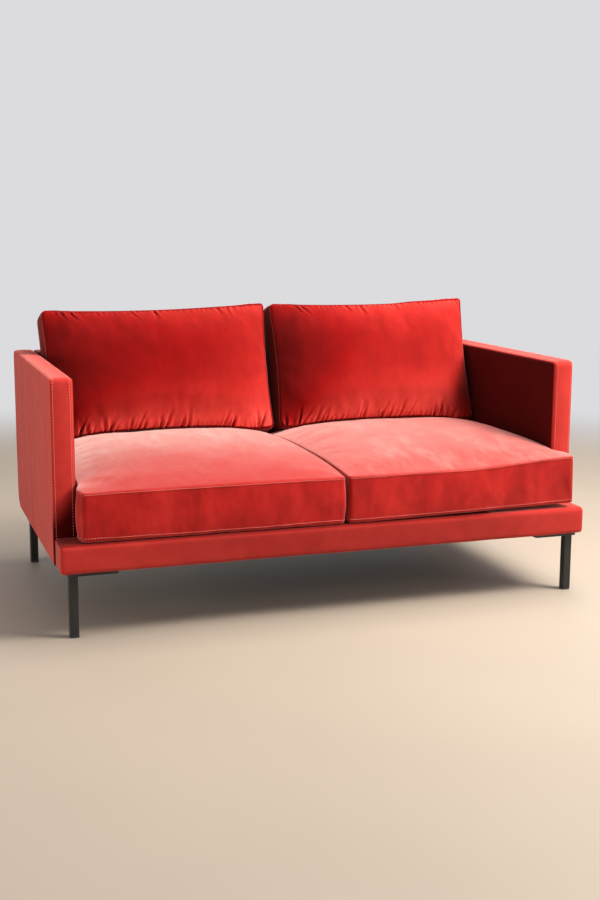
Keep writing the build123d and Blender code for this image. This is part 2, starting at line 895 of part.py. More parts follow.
def back_core(inset):
    """Core of the right back cushion, or its space in the cover, drawn in by inset."""
    inner = back_inner + back_drawn_in + inset
    outer = back_outer - back_drawn_in - inset
    seam = inset - back_border
    top = back_cushion_height - inset
    crown = back_crown - back_crown_fall
    section = Plane((inner, back_foot_y, back_foot_z), x_dir=lean_x, z_dir=(1, 0, 0))
    with BuildPart() as core:
        with BuildSketch(section):
            with BuildLine():
                Line((-inset, inset), (-inset, top))
                Line((-inset, top), (seam, top))
                ThreePointArc((seam, top), (seam - crown, (top + inset) / 2), (seam, inset))
                Line((seam, inset), (-inset, inset))
            make_face()
        extrude(amount=outer - inner)
        add(seat_form(-cushion_gap - inset), mode=Mode.SUBTRACT)
    return core.part


def back_zip(clearance):
    """Zip in the rear of a back cushion, or its opening with a clearance."""
    rear_plane = Plane(
        ((back_inner + back_outer) / 2, back_foot_y, back_foot_z),
        x_dir=(1, 0, 0),
        z_dir=lean_out,
    )
    with BuildPart() as piece:
        with BuildSketch(rear_plane.offset(-clearance)):
            with Locations((0, zip_height)):
                Rectangle(zip_length + 2 * clearance, zip_w + 2 * clearance)
        extrude(amount=cover_t + 2 * clearance)
    return piece.part


keep_pair(hollow(back_form(0), back_core(cover_t), back_zip(fit)), "back_cushion_cover")
keep_pair(back_core(cover_t + fit), "back_cushion_core")
keep_pair(back_zip(0), "back_cushion_zip")
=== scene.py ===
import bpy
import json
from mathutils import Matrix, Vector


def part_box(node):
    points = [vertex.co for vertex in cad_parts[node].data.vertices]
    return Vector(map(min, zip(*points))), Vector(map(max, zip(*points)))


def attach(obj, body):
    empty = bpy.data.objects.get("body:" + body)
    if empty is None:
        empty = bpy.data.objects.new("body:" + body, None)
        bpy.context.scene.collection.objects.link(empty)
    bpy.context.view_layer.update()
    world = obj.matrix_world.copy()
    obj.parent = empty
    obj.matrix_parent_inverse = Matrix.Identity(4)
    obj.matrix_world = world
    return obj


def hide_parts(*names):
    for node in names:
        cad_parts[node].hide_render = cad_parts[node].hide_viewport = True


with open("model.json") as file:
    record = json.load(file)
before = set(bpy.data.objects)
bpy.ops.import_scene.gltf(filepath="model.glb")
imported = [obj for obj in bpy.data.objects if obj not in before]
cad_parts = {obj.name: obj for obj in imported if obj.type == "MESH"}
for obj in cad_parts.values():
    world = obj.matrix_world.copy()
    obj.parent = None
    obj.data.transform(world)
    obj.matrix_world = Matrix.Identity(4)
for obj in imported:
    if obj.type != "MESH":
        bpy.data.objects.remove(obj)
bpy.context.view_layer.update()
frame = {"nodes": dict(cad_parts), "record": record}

import json
import math

import bpy
import numpy as np
from mathutils import Matrix, Vector
from mathutils.kdtree import KDTree

# A two-seat velvet settee. Metres, +Z up, front towards -Y, origin on the floor under the middle.
# A side is -1 for left and 1 for right, as seen by someone who faces the front.
SIDES = (-1, 1)
WORD = {-1: "left", 1: "right"}

# Sizes shared with the solids
HALF = 0.800
FRONT, REAR = -0.470, 0.470
REAR_RADIUS = 0.058
ARM_IN = 0.735
ARM_FRONT = -0.367
ARM_TOP = 0.705
BASE_LOW, BASE_TOP = 0.183, 0.265
RAKE = math.radians(17.0)
BACK_LOW = 0.2514
BACK_HEM = 0.015
BACK_TOP_DEPTH = 0.105
SEAT_FACE, SEAT_BACK = -0.462, 0.2301
SEAT_LOW, SEAT_LIP = 0.2654, 0.2754
LIP = SEAT_LIP - SEAT_LOW
SEAT_SEAM, SEAT_REAR_TOP = 0.4024, 0.4424
BACK_FOOT_Z = 0.4184
BACK_BORDER = 0.116
BACK_HEIGHT = 0.408
LEG_X = 0.7625
LEG_YS = (-0.4335, 0.400)
LEG_HALF = 0.0125
LEG_PLATE_LOW = 0.177

# Crowns, a little fuller than the solids' own
SEAT_CROWN = 0.052
BACK_CROWN = 0.046


def back_face(z):
    """Y of the raked inside back at height z."""
    return REAR - BACK_TOP_DEPTH - (ARM_TOP - z) * math.tan(RAKE)


def smooth(t):
    """Smooth step of t from 0 to 1."""
    t = np.clip(t, 0.0, 1.0)
    return t * t * (3 - 2 * t)


def across(x, ends):
    """Place of x between two ends, from -1 to 1."""
    return (2 * x - ends[0] - ends[1]) / (ends[1] - ends[0])


def lattice(cell, seed):
    """Repeatable value from -1 to 1 for each row of whole numbers."""
    c = cell.astype(np.int64)
    h = c[:, 0] * 374761393 + c[:, 1] * 668265263 + c[:, 2] * 1440662683 + seed * 1274126177
    h = (h ^ (h >> 13)) * 1103515245 & 0x7FFFFFFF
    h = (h ^ (h >> 16)) * 12345 & 0x7FFFFFFF
    return (h % 65536) / 32767.5 - 1.0


def noise(points, size, seed=0, octaves=2):
    """Smooth noise at each point; size is the length of its largest features along each axis."""
    total = np.zeros(len(points))
    gain = 1.0
    for octave in range(octaves):
        q = points / np.asarray(size) * 2.0**octave
        low = np.floor(q)
        f = q - low
        f = f * f * (3 - 2 * f)
        for corner in range(8):
            step = np.array([corner & 1, corner >> 1 & 1, corner >> 2 & 1])
            weight = np.prod(np.where(step, f, 1 - f), axis=1)
            total += gain * weight * lattice(low + step, seed + octave * 17)
        gain *= 0.5
    return total


# Meshes

def new_object(name, verts, faces, mat, smooth_shading=True):
    """Mesh object from arrays of points and lists of faces."""
    mesh = bpy.data.meshes.new(name)
    points = [tuple(v) for v in np.asarray(verts, float)]
    mesh.from_pydata(points, [], [tuple(int(i) for i in f) for f in faces])
    mesh.polygons.foreach_set("use_smooth", [smooth_shading] * len(mesh.polygons))
    mesh.update()
    obj = bpy.data.objects.new(name, mesh)
    bpy.context.scene.collection.objects.link(obj)
    obj.data.materials.append(mat)
    return obj


def get_points(mesh):
    co = np.zeros(len(mesh.vertices) * 3)
    mesh.vertices.foreach_get("co", co)
    return co.reshape(-1, 3)


def set_points(mesh, points):
    mesh.vertices.foreach_set("co", np.asarray(points, float).ravel())
    mesh.update()


def get_normals(mesh):
    out = np.zeros(len(mesh.vertices) * 3)
    mesh.vertex_normals.foreach_get("vector", out)
    return out.reshape(-1, 3)


def spread(ends, spacing, dense=0.0):
    """Grid lines between two ends, about spacing apart, drawn together near the ends by dense."""
    count = max(2, int(round((ends[1] - ends[0]) / spacing)))
    t = np.linspace(0, 1, count + 1)
    t = t - dense * np.sin(2 * np.pi * t) / (2 * np.pi)
    return ends[0] + (ends[1] - ends[0]) * t


def level(z):
    """Height that is the same all over."""
    return lambda u, v: 0 * u + z


def raised(height, offset):
    """Height lifted by an offset."""
    return lambda u, v: height(u, v) + offset


def ring_faces(low, up):
    """Faces between two closed rings of points."""
    return list(zip(low, np.roll(low, -1), np.roll(up, -1), up))


class Boxed:
    """Closed boxed form: a low panel and a high panel on one grid, joined by rings round their edge."""

    def __init__(self, us, vs, rings):
        nu, nv = len(us), len(vs)
        self.u, self.v = (g.ravel() for g in np.meshgrid(us, vs, indexing="ij"))
        self.limits = (us[0], us[-1], vs[0], vs[-1])
        grid = np.arange(nu * nv).reshape(nu, nv)
        loop = [(i, 0) for i in range(nu - 1)] + [(nu - 1, j) for j in range(nv - 1)]
        loop += [(i, nv - 1) for i in range(nu - 1, 0, -1)] + [(0, j) for j in range(nv - 1, 0, -1)]
        self.loop = np.array([grid[i, j] for i, j in loop])
        self.size = nu * nv
        high, count = self.size, len(self.loop)
        chains = [self.loop] + [2 * self.size + k * count + np.arange(count) for k in range(rings)]
        chains.append(high + self.loop)
        self.ring_index = chains
        self.faces = []
        for i in range(nu - 1):
            for j in range(nv - 1):
                a, b, c, d = grid[i, j], grid[i + 1, j], grid[i + 1, j + 1], grid[i, j + 1]
                self.faces.append((d, c, b, a))
                self.faces.append((high + a, high + b, high + c, high + d))
        for low, up in zip(chains[:-1], chains[1:]):
            self.faces += ring_faces(low, up)

    def outline(self, u, v, inset, radii):
        """Points of the grid moved into the outline, drawn in by inset, with rounded corners."""
        u0, u1, v0, v1 = self.limits
        uu = u0 + inset + (u - u0) / (u1 - u0) * (u1 - u0 - 2 * inset)
        vv = v0 + inset + (v - v0) / (v1 - v0) * (v1 - v0 - 2 * inset)
        corners = ((u0, v0), (u1, v0), (u1, v1), (u0, v1))
        for (cu, cv), radius in zip(corners, radii):
            r = max(radius - inset, 0.0)
            if r <= 0:
                continue
            su = 1 if cu == u0 else -1
            sv = 1 if cv == v0 else -1
            mu = cu + su * (inset + r)
            mv = cv + sv * (inset + r)
            du = (mu - uu) * su
            dv = (mv - vv) * sv
            near = (du > 0) & (dv > 0)
            length = np.maximum(np.hypot(du, dv), 1e-9)
            scale = np.where(near, np.maximum(du, dv) / length, 1.0)
            uu = np.where(near, mu - su * du * scale, uu)
            vv = np.where(near, mv - sv * dv * scale, vv)
        return uu, vv

    def points(self, low, high, profile, radii):
        """All points: low, high and each ring of the profile are an inset and a height of (u, v)."""
        panels = [(self.u, self.v, *row) for row in (low, high)]
        rings = [(self.u[self.loop], self.v[self.loop], *row) for row in profile]
        parts = []
        for grid_u, grid_v, inset, height in panels + rings:
            u, v = self.outline(grid_u, grid_v, inset, radii)
            parts.append(np.stack([u, v, height(u, v)], axis=1))
        return np.concatenate(parts)

    def high_panel(self):
        """1 at the points of the high panel, 0 elsewhere."""
        share = np.zeros(self.ring_index[-2][-1] + 1)
        share[self.size:2 * self.size] = 1.0
        return share

    def rings(self, *numbers):
        """Indices of the points on some rings."""
        return np.concatenate([self.ring_index[n] for n in numbers])


def subdivided(obj, tags):
    """One subdivision applied, with named values carried from the old points to the new."""
    for name, values in tags.items():
        attribute = obj.data.attributes.new(name, "FLOAT", "POINT")
        attribute.data.foreach_set("value", np.asarray(values, np.float32))
    modifier = obj.modifiers.new("finer", "SUBSURF")
    modifier.levels = modifier.render_levels = 1
    modifier.boundary_smooth = "PRESERVE_CORNERS"
    shaped = obj.evaluated_get(bpy.context.evaluated_depsgraph_get())
    mesh = bpy.data.meshes.new_from_object(shaped)
    obj.modifiers.clear()
    old = obj.data
    mesh.name = obj.name
    obj.data = mesh
    bpy.data.meshes.remove(old)
    carried = {}
    for name in tags:
        values = np.zeros(len(mesh.vertices), np.float32)
        mesh.attributes[name].data.foreach_get("value", values)
        carried[name] = values.astype(float)
        mesh.attributes.remove(mesh.attributes[name])
    return carried


# Materials

class Tree:
    """Shader nodes of a material or world; most methods add one node and give its output."""

    def __init__(self, owner):
        owner.use_nodes = True
        self.nodes, self.links = owner.node_tree.nodes, owner.node_tree.links

    def add(self, kind, **inputs):
        """New node, with some inputs set by name."""
        node = self.nodes.new("ShaderNode" + kind)
        for name, value in inputs.items():
            node.inputs[name].default_value = value
        return node

    def vector_math(self, operation, vector):
        node = self.add("VectorMath")
        node.operation = operation
        self.links.new(vector, node.inputs[0])
        return node

    def place(self, scale=(1, 1, 1), turn=(0, 0, 0)):
        """Object coordinates turned and stretched by scale."""
        coords = self.add("TexCoord")
        mapping = self.add("Mapping", Scale=scale, Rotation=turn)
        self.links.new(coords.outputs["Object"], mapping.inputs["Vector"])
        return mapping.outputs["Vector"]

    def noise(self, vector, scale, detail=3.0, rough=0.5, distortion=0.0):
        node = self.add("TexNoise", Scale=scale, Detail=detail, Roughness=rough, Distortion=distortion)
        self.links.new(vector, node.inputs["Vector"])
        return node.outputs["Fac"]

    def ramp(self, value, stops):
        node = self.add("ValToRGB")
        elements = node.color_ramp.elements
        while len(elements) < len(stops):
            elements.new(0.5)
        for element, (position, color) in zip(elements, stops):
            element.position = position
            element.color = (*color, 1)
        self.links.new(value, node.inputs["Fac"])
        return node.outputs["Color"]

    def multiply(self, factor, a, b):
        """Color a, multiplied by color b by a share that is a number or an output."""
        node = self.add("Mix")
        node.data_type = "RGBA"
        node.blend_type = "MULTIPLY"
        if isinstance(factor, float):
            node.inputs["Factor"].default_value = factor
        else:
            self.links.new(factor, node.inputs["Factor"])
        self.links.new(a, node.inputs[6])
        self.links.new(b, node.inputs[7])
        return node.outputs[2]

    def bump(self, shader, height, strength, distance, after=None):
        node = self.add("Bump", Strength=strength, Distance=distance)
        self.links.new(height, node.inputs["Height"])
        if after is not None:
            self.links.new(after, node.inputs["Normal"])
        self.links.new(node.outputs["Normal"], shader.inputs["Normal"])
        return node.outputs["Normal"]


def grey(value):
    return (value, value, value)


def material(name, color, roughness, metallic=0.0, specular=0.5):
    """Material with a Principled shader, and its tree of nodes."""
    mat = bpy.data.materials.new(name)
    tree = Tree(mat)
    tree.nodes.clear()
    out = tree.add("OutputMaterial")
    shader = tree.add("BsdfPrincipled", Roughness=roughness, Metallic=metallic)
    shader.inputs["Base Color"].default_value = (*color, 1)
    shader.inputs["Specular IOR Level"].default_value = specular
    tree.links.new(shader.outputs["BSDF"], out.inputs["Surface"])
    mat.diffuse_color = (*color, 1)
    return mat, shader, tree


def velvet_material(name, tones, stretch, marks, lean, sheen, tint, turn=(0, 0, 0), fade=0.74, bloom=1.9):
    """Short-pile velvet: brushed pile, pile speckle and a sheen at a low angle, with its tone set by each
    piece's share of raised pile and painted light; low shares give painted shade.
    """
    mat, shader, tree = material(name, tones[1][1], 0.85, specular=0.05)
    shader.inputs["Sheen Weight"].default_value = sheen
    shader.inputs["Sheen Roughness"].default_value = 0.45
    shader.inputs["Sheen Tint"].default_value = (*tint, 1)
    nap_and_painted_light = tree.noise(tree.place(stretch, turn), 6.0, 5.0, 0.6, 0.4)
    strokes = tree.noise(tree.place(tuple(3.0 * s for s in stretch), turn), 6.0, 4.0, 0.6, 0.3)
    pile = tree.noise(tree.place(), 900.0, 2.0, 0.6)
    attribute = tree.add("Attribute")
    attribute.attribute_name = "nap_and_painted_light"
    pile_and_painted_light_share = attribute.outputs["Fac"]
    # Brushed patches: real marks in the pile, though their pale pink lift, set by bloom, is partly a painted
    # sheen
    bright = (1.9 - 0.9 * fade, bloom, bloom)
    patches = tree.ramp(nap_and_painted_light, [(0.33, (fade, 0.62, 0.62)), (0.50, (0.98, 0.95, 0.95)), (0.68, bright)])
    brushed = tree.ramp(strokes, [(0.36, (fade + 0.08, 0.76, 0.76)), (0.64, (1.10, 1.20, 1.20))])
    speckle = tree.ramp(pile, [(0.3, grey(0.86)), (0.7, grey(1.12))])
    marked = tree.ramp(pile_and_painted_light_share, [(0.0, grey(marks)), (1.0, grey(0.35 * marks))])
    color = tree.multiply(marked, tree.ramp(pile_and_painted_light_share, tones), patches)
    color = tree.multiply(marks, color, brushed)
    color = tree.multiply(0.7, color, speckle)
    tree.links.new(color, shader.inputs["Base Color"])
    swept_pile = tree.bump(shader, strokes, lean, 0.004)
    tree.bump(shader, pile, 0.25, 0.0006, swept_pile)
    return mat


def grained_material(name, color, roughness, grain, tones, gloss=None, relief=None, metallic=0.0,
                     specular=0.5, stretch=(1, 1, 1)):
    """Material whose tone, gloss and relief follow one noise.

    grain is the noise's scale, detail and so on, tones are two stops of a ramp, gloss is the least and
    greatest roughness, and relief is the bump's strength and distance.
    """
    mat, shader, tree = material(name, color, roughness, metallic, specular)
    value = tree.noise(tree.place(stretch), *grain)
    tree.links.new(tree.ramp(value, tones), shader.inputs["Base Color"])
    if gloss:
        stops = [(0.3, grey(gloss[0])), (0.7, grey(gloss[1]))]
        tree.links.new(tree.ramp(value, stops), shader.inputs["Roughness"])
    if relief:
        tree.bump(shader, value, *relief)
    return mat


def black_metal():
    """Black coated steel, rubbed in places, with a fine grain."""
    mat, shader, tree = material("black_metal", (0.013, 0.012, 0.013), 0.42)
    grain = tree.noise(tree.place(), 1400.0, 2.0)
    rubs = tree.noise(tree.place((1, 1, 0.4)), 14.0, 5.0)
    tones = [(0.35, (0.006, 0.0055, 0.0055)), (0.75, (0.014, 0.013, 0.013))]
    tree.links.new(tree.ramp(rubs, tones), shader.inputs["Base Color"])
    tree.links.new(tree.ramp(rubs, [(0.3, grey(0.34)), (0.7, grey(0.52))]), shader.inputs["Roughness"])
    tree.bump(shader, grain, 0.25, 0.0003)
    return mat


def wood_material(name, dark, pale, stretch):
    """Bare planed wood with growth rings drawn out along the grain."""
    return grained_material(name, pale, 0.6, (1.0, 6.0, 0.65, 0.8), [(0.3, dark), (0.6, pale)],
                            relief=(0.25, 0.0005), specular=0.3, stretch=stretch)


def cloth_material(name, dark, pale, scale):
    """Plain cloth with a fine even texture."""
    return grained_material(name, pale, 0.9, (scale, 4.0, 0.7), [(0.35, dark), (0.65, pale)],
                            relief=(0.4, 0.0005), specular=0.15)


def two_cloths(obj, first_share, second):
    """Faces with a point whose share is at most a half take a second material."""
    obj.data.materials.append(second)
    corner = np.zeros(len(obj.data.loops), np.int32)
    obj.data.loops.foreach_get("vertex_index", corner)
    start = np.zeros(len(obj.data.polygons), np.int32)
    obj.data.polygons.foreach_get("loop_start", start)
    lowest = np.minimum.reduceat(first_share[corner], start)
    obj.data.polygons.foreach_set("material_index", np.where(lowest > 0.5, 0, 1).astype(np.int32))


def set_pile_and_painted_light(obj, values):
    """Share of raised pile and of painted light at each point of a piece, read by its velvet; low values are
    painted shade.
    """
    attribute = obj.data.attributes.new("nap_and_painted_light", "FLOAT", "POINT")
    attribute.data.foreach_set("value", np.clip(values, 0, 1).astype(np.float32))


# Tones of each velvet from its lowest to its highest share of raised pile and painted light: the near-black
# low ends of the back and side tones are painted shade, the bright high end of the back tones is painted
# light, and the pink high end of the seat tones is a painted sheen
SEAT_TONES = [(0.0, (0.315, 0.006, 0.0045)), (1.0, (0.47, 0.180, 0.155))]
BOXING_TONES = [(0.0, (0.39, 0.009, 0.007)), (1.0, (0.44, 0.013, 0.010))]
BACK_TONES = [
    (0.0, (0.075, 0.0004, 0.0003)),
    (0.28, (0.220, 0.0016, 0.0014)),
    (0.50, (0.33, 0.012, 0.009)),
    (1.0, (0.62, 0.055, 0.042)),
]
SIDE_TONES = [(0.0, (0.064, 0.0005, 0.0004)), (1.0, (0.54, 0.034, 0.026))]
SIDE_TINT = (1.0, 0.52, 0.44)
EVEN = (1.2, 1.2, 1.2)

velvet = velvet_material(
    "velvet", SEAT_TONES, (2.6, 1.1, 1.6), marks=0.9, lean=0.45, sheen=0.84, tint=(1.0, 0.76, 0.68),
    turn=(0, 0, 0.9), fade=0.98, bloom=2.4)
velvet_boxing = velvet_material(
    "velvet_boxing", BOXING_TONES, (1.5, 1.5, 0.9), marks=0.8, lean=0.14, sheen=0.57, tint=(1.0, 0.58, 0.50))
velvet_back = velvet_material(
    "velvet_back", BACK_TONES, (1.3, 1.3, 0.8), marks=0.5, lean=0.10, sheen=0.16, tint=(1.0, 0.62, 0.52))
velvet_upright = velvet_material(
    "velvet_upright", SIDE_TONES, EVEN, marks=0.38, lean=0.06, sheen=0.42, tint=SIDE_TINT)
# Copy of the upright velvet with almost no sheen, for faces in painted shade: the arms' inner faces and part
# of the rail's top
velvet_painted_shade = velvet_material(
    "velvet_painted_shade", SIDE_TONES, EVEN, marks=0.38, lean=0.06, sheen=0.07, tint=SIDE_TINT)

thread = grained_material(
    "thread", (0.66, 0.20, 0.16), 0.6, (700.0, 2.0), [(0.3, (0.58, 0.15, 0.12)), (0.7, (0.74, 0.26, 0.21))])
metal = black_metal()
plastic = grained_material(
    "glide_plastic", (0.02, 0.02, 0.021), 0.55, (220.0, 4.0),
    [(0.4, (0.016, 0.016, 0.017)), (0.8, (0.05, 0.048, 0.047))], relief=(0.2, 0.0004), stretch=(1, 1, 3))
steel = grained_material(
    "bright_steel", (0.55, 0.55, 0.56), 0.32, (1.0, 3.0),
    [(0.3, (0.45, 0.45, 0.46)), (0.7, (0.65, 0.65, 0.66))],
    gloss=(0.25, 0.42), metallic=1.0, stretch=(40, 40, 900))
timber = wood_material("timber", (0.36, 0.21, 0.10), (0.60, 0.41, 0.22), (3, 60, 60))
plywood = wood_material("plywood", (0.44, 0.28, 0.14), (0.66, 0.48, 0.28), (260, 20, 4))
hardboard = wood_material("hardboard", (0.10, 0.055, 0.03), (0.17, 0.10, 0.055), (160, 160, 160))
lining = cloth_material("lining", (0.010, 0.010, 0.011), (0.030, 0.030, 0.032), 500.0)
felt = cloth_material("felt", (0.10, 0.10, 0.105), (0.25, 0.25, 0.26), 300.0)
webbing = cloth_material("webbing", (0.40, 0.34, 0.26), (0.60, 0.54, 0.44), 400.0)
zip_tape = cloth_material("zip_tape", (0.20, 0.012, 0.010), (0.32, 0.03, 0.026), 600.0)
zip_coil = grained_material(
    "zip_coil", (0.16, 0.012, 0.010), 0.35, (500.0, 3.0),
    [(0.3, (0.12, 0.008, 0.007)), (0.7, (0.22, 0.02, 0.016))], gloss=(0.28, 0.45))

NODE_MATERIALS = dict(
    timber=timber, plywood=plywood, hardboard=hardboard, steel=steel, black_metal=metal, glide=plastic,
    lining=lining, felt=felt, foam=felt, cushion_fill=felt, webbing=webbing, zip=zip_tape, velvet=velvet)
for row in frame["record"]["subparts"]:
    node = frame["nodes"][row["node"]]
    node.data.materials.clear()
    node.data.materials.append(NODE_MATERIALS[row["material_slot"]])


# Creases from a cloth simulation

FRAMES = 20
MOVE_CAP = 0.025
BROAD_ROUNDS, SOFT_ROUNDS = 60, 2
SIM_CROWN = 0.7
CLOTH = dict(
    quality=5, mass=0.25, tension_stiffness=25, compression_stiffness=8, shear_stiffness=8,
    bending_stiffness=0.15, use_pressure=True, uniform_pressure_force=4.0, vertex_group_mass="pins",
    vertex_group_shrink="seams", shrink_min=0.0)


def average(values, edges, rounds):
    """Values smoothed over a mesh's edges."""
    count = len(values)
    degree = np.bincount(edges.ravel(), minlength=count)[:, None]
    for _ in range(rounds):
        total = np.empty_like(values)
        for axis in range(values.shape[1]):
            column = values[:, axis]
            total[:, axis] = np.bincount(edges[:, 0], column[edges[:, 1]], count)
            total[:, axis] += np.bincount(edges[:, 1], column[edges[:, 0]], count)
        values = 0.5 * values + 0.5 * total / degree
    return values


def inflate(start, faces, seam, held, shrink):
    """Points of a stuffed cover after a cloth simulation with its seams drawn up."""
    obj = new_object("stuffing", start, faces, velvet)
    for name, indices in (("seams", seam), ("pins", held)):
        obj.vertex_groups.new(name=name).add([int(i) for i in indices], 1.0, "REPLACE")
    cloth = obj.modifiers.new("cloth", "CLOTH")
    for name, value in CLOTH.items():
        setattr(cloth.settings, name, value)
    cloth.settings.shrink_max = shrink
    cloth.settings.effector_weights.gravity = 0.0
    cloth.collision_settings.use_collision = False
    cloth.point_cache.frame_start = 1
    cloth.point_cache.frame_end = FRAMES
    scene = bpy.context.scene
    for number in range(1, FRAMES + 1):
        scene.frame_set(number)
    shaped = obj.evaluated_get(bpy.context.evaluated_depsgraph_get())
    points = get_points(shaped.data)
    scene.frame_set(1)
    bpy.data.objects.remove(obj)
    moved = points - start
    length = np.maximum(np.linalg.norm(moved, axis=1, keepdims=True), 1e-9)
    return start + moved * np.minimum(1.0, MOVE_CAP / length)


def creased(target, start, faces, seam, held, shrink, share):
    """Target with a share of the fine creases that the start takes on when it is simulated."""
    pairs = np.array([(f[k], f[(k + 1) % len(f)]) for f in faces for k in range(len(f))])
    edges = np.unique(np.sort(pairs, axis=1), axis=0)
    loose = inflate(start, faces, seam, held, shrink) - target
    return target + share * average(loose - average(loose, edges, BROAD_ROUNDS), edges, SOFT_ROUNDS)


# Sewing

STITCH_PITCH, STITCH_LENGTH, STITCH_RADIUS = 0.0084, 0.0050, 0.0009
STITCH_SIDES = 6
STITCH_LIFT = 0.0003


def stitches(name, path, normals):
    """Row of topstitches along a path, each a short thread that dips at both ends."""
    step = np.linalg.norm(np.diff(path, axis=0), axis=1)
    along = np.concatenate([[0], np.cumsum(step)])
    count = max(1, int(along[-1] / STITCH_PITCH))
    places = (np.arange(count) + 0.5) * along[-1] / count
    verts, faces = [], []
    shares = np.array([-0.5, -0.32, 0.0, 0.32, 0.5]) * STITCH_LENGTH
    lift = np.array([-0.0005, 0.00025, 0.0004, 0.00025, -0.0005])
    thick = np.array([0.35, 0.9, 1.0, 0.9, 0.35]) * STITCH_RADIUS
    sides = STITCH_SIDES
    for where in places:
        at = [np.array([np.interp(where + s, along, path[:, k]) for k in range(3)]) for s in shares]
        up = np.array([np.interp(where, along, normals[:, k]) for k in range(3)])
        up /= np.linalg.norm(up)
        run = at[-1] - at[0]
        run /= max(np.linalg.norm(run), 1e-9)
        sideways = np.cross(run, up)
        first = len(verts)
        for centre, rise, r in zip(at, lift, thick):
            for k in range(sides):
                angle = 2 * math.pi * k / sides
                verts.append(centre + up * (rise + r * math.sin(angle)) + sideways * r * math.cos(angle))
        rings = first + np.arange(len(shares) * sides).reshape(-1, sides)
        for low, high in zip(rings[:-1], rings[1:]):
            faces += ring_faces(low, high)
        faces += [tuple(rings[0][::-1]), tuple(rings[-1])]
    return new_object(name, verts, faces, thread)


def follow(obj, line):
    """Path on an object's own surface nearest to a line of points, with the normals there."""
    points, normals = get_points(obj.data), get_normals(obj.data)
    tree = KDTree(len(points))
    for index, point in enumerate(points):
        tree.insert(point, index)
    tree.balance()
    near = [[i for _, i, _ in tree.find_n(p, 4)] for p in line]
    path = np.array([points[i].mean(axis=0) for i in near])
    normal = np.array([normals[i].mean(axis=0) for i in near])
    normal /= np.linalg.norm(normal, axis=1, keepdims=True)
    return path + normal * STITCH_LIFT, normal


def sew(obj, name, line, body):
    """Row of stitches on an object's surface along a line."""
    row = stitches(name, *follow(obj, line))
    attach(row, body)


# Seat cushions

SEAT_GAP = 0.0014
SEAT_CELL = 0.0088
SEAT_ROWS = 12
SEAT_CORNER, SEAT_OUTER_CORNER = 0.010, 0.008
SEAT_SEAM_DROP = 0.0030
SEAT_FOOT = ((0.0070, 0.0012), (0.0024, 0.0048))
SEAT_HEAD = ((0.0000, -0.0012), (0.0012, 0.0002))
SEAT_SIM_SHARE = 0.24
BESIDE_ARM = ARM_FRONT - 0.012

# Front of the right cushion: rise of its top and curl of its underside towards the outer end
SEAT_RISE = {-1: 0.0, 1: 0.020}
SEAT_CURL = {-1: 0.0, 1: 0.0115}

# Swell ahead of the arm, with its bulge and taper over the height and its tuck at the face
SEAT_SWELL = {-1: 0.015, 1: 0.0265}
SEAT_BULGE = {-1: 0.18, 1: -0.16}
SEAT_TAPER = {-1: 0.0, 1: 0.16}
SEAT_TUCK = {-1: 0.85, 1: 0.0}

# Lean of the division between the cushions, to the right at the front
DIVISION_LEAN = {-1: 0.0205, 1: 0.0285}


def seat_span(side):
    """Ends of a seat cushion in X, from the middle of the settee to the arm."""
    return sorted((side * SEAT_GAP, side * (ARM_IN - SEAT_GAP)))


def seat_depth(y):
    """Share of the way from a seat cushion's face to its rear."""
    return np.clip((y - SEAT_FACE) / (SEAT_BACK - SEAT_FACE), 0, 1)


def seat_top(side, x, y):
    """Height of a seat cushion's top."""
    s = np.clip(across(x, seat_span(side)), -1, 1)
    t = seat_depth(y)
    fall = np.abs(s) ** 3.5
    base = SEAT_SEAM + (SEAT_REAR_TOP - SEAT_SEAM) * t * (1 - 0.55 * fall)
    ridge = 1 - np.abs(2 * t - 1) ** 2.7
    rise = SEAT_RISE[side] * smooth((x - 0.40) / 0.33)
    return base + SEAT_CROWN * ridge * (1 - 0.62 * fall) + rise * (1 - t)


def seat_bend(side, points, share):
    """Sideways give of a seat cushion: drawn-in sides, swell past the arm, and a lean of the division."""
    x, y, z = points.T
    s = across(x, seat_span(side))
    t = seat_depth(y)
    outer = smooth((s * side - 0.2) / 0.8)
    inner = smooth((-s * side - 0.2) / 0.8)
    belly = np.sin(np.pi * share)
    ahead = smooth((ARM_FRONT - 0.010 - y) / 0.050) * (1 - SEAT_TUCK[side] * smooth((-0.424 - y) / 0.038))
    swell = SEAT_SWELL[side] * ahead * (1 - SEAT_BULGE[side] + SEAT_BULGE[side] * belly)
    swell = swell * (1 + SEAT_TAPER[side] / 2 - SEAT_TAPER[side] * share)
    drawn = 0.004 * np.sin(np.pi * t) * belly
    x = x + side * outer * (swell - drawn * (1 - ahead)) + DIVISION_LEAN[side] * inner * (1 - t) ** 1.5
    return np.stack([x, y, z], axis=1)


def clear_arm(side, points, y, limit):
    """Points beside the arm kept within a limit of the middle; y says which are beside it."""
    x = points[:, 0]
    points[:, 0] = np.where(y > BESIDE_ARM, side * np.minimum(side * x, limit), x)


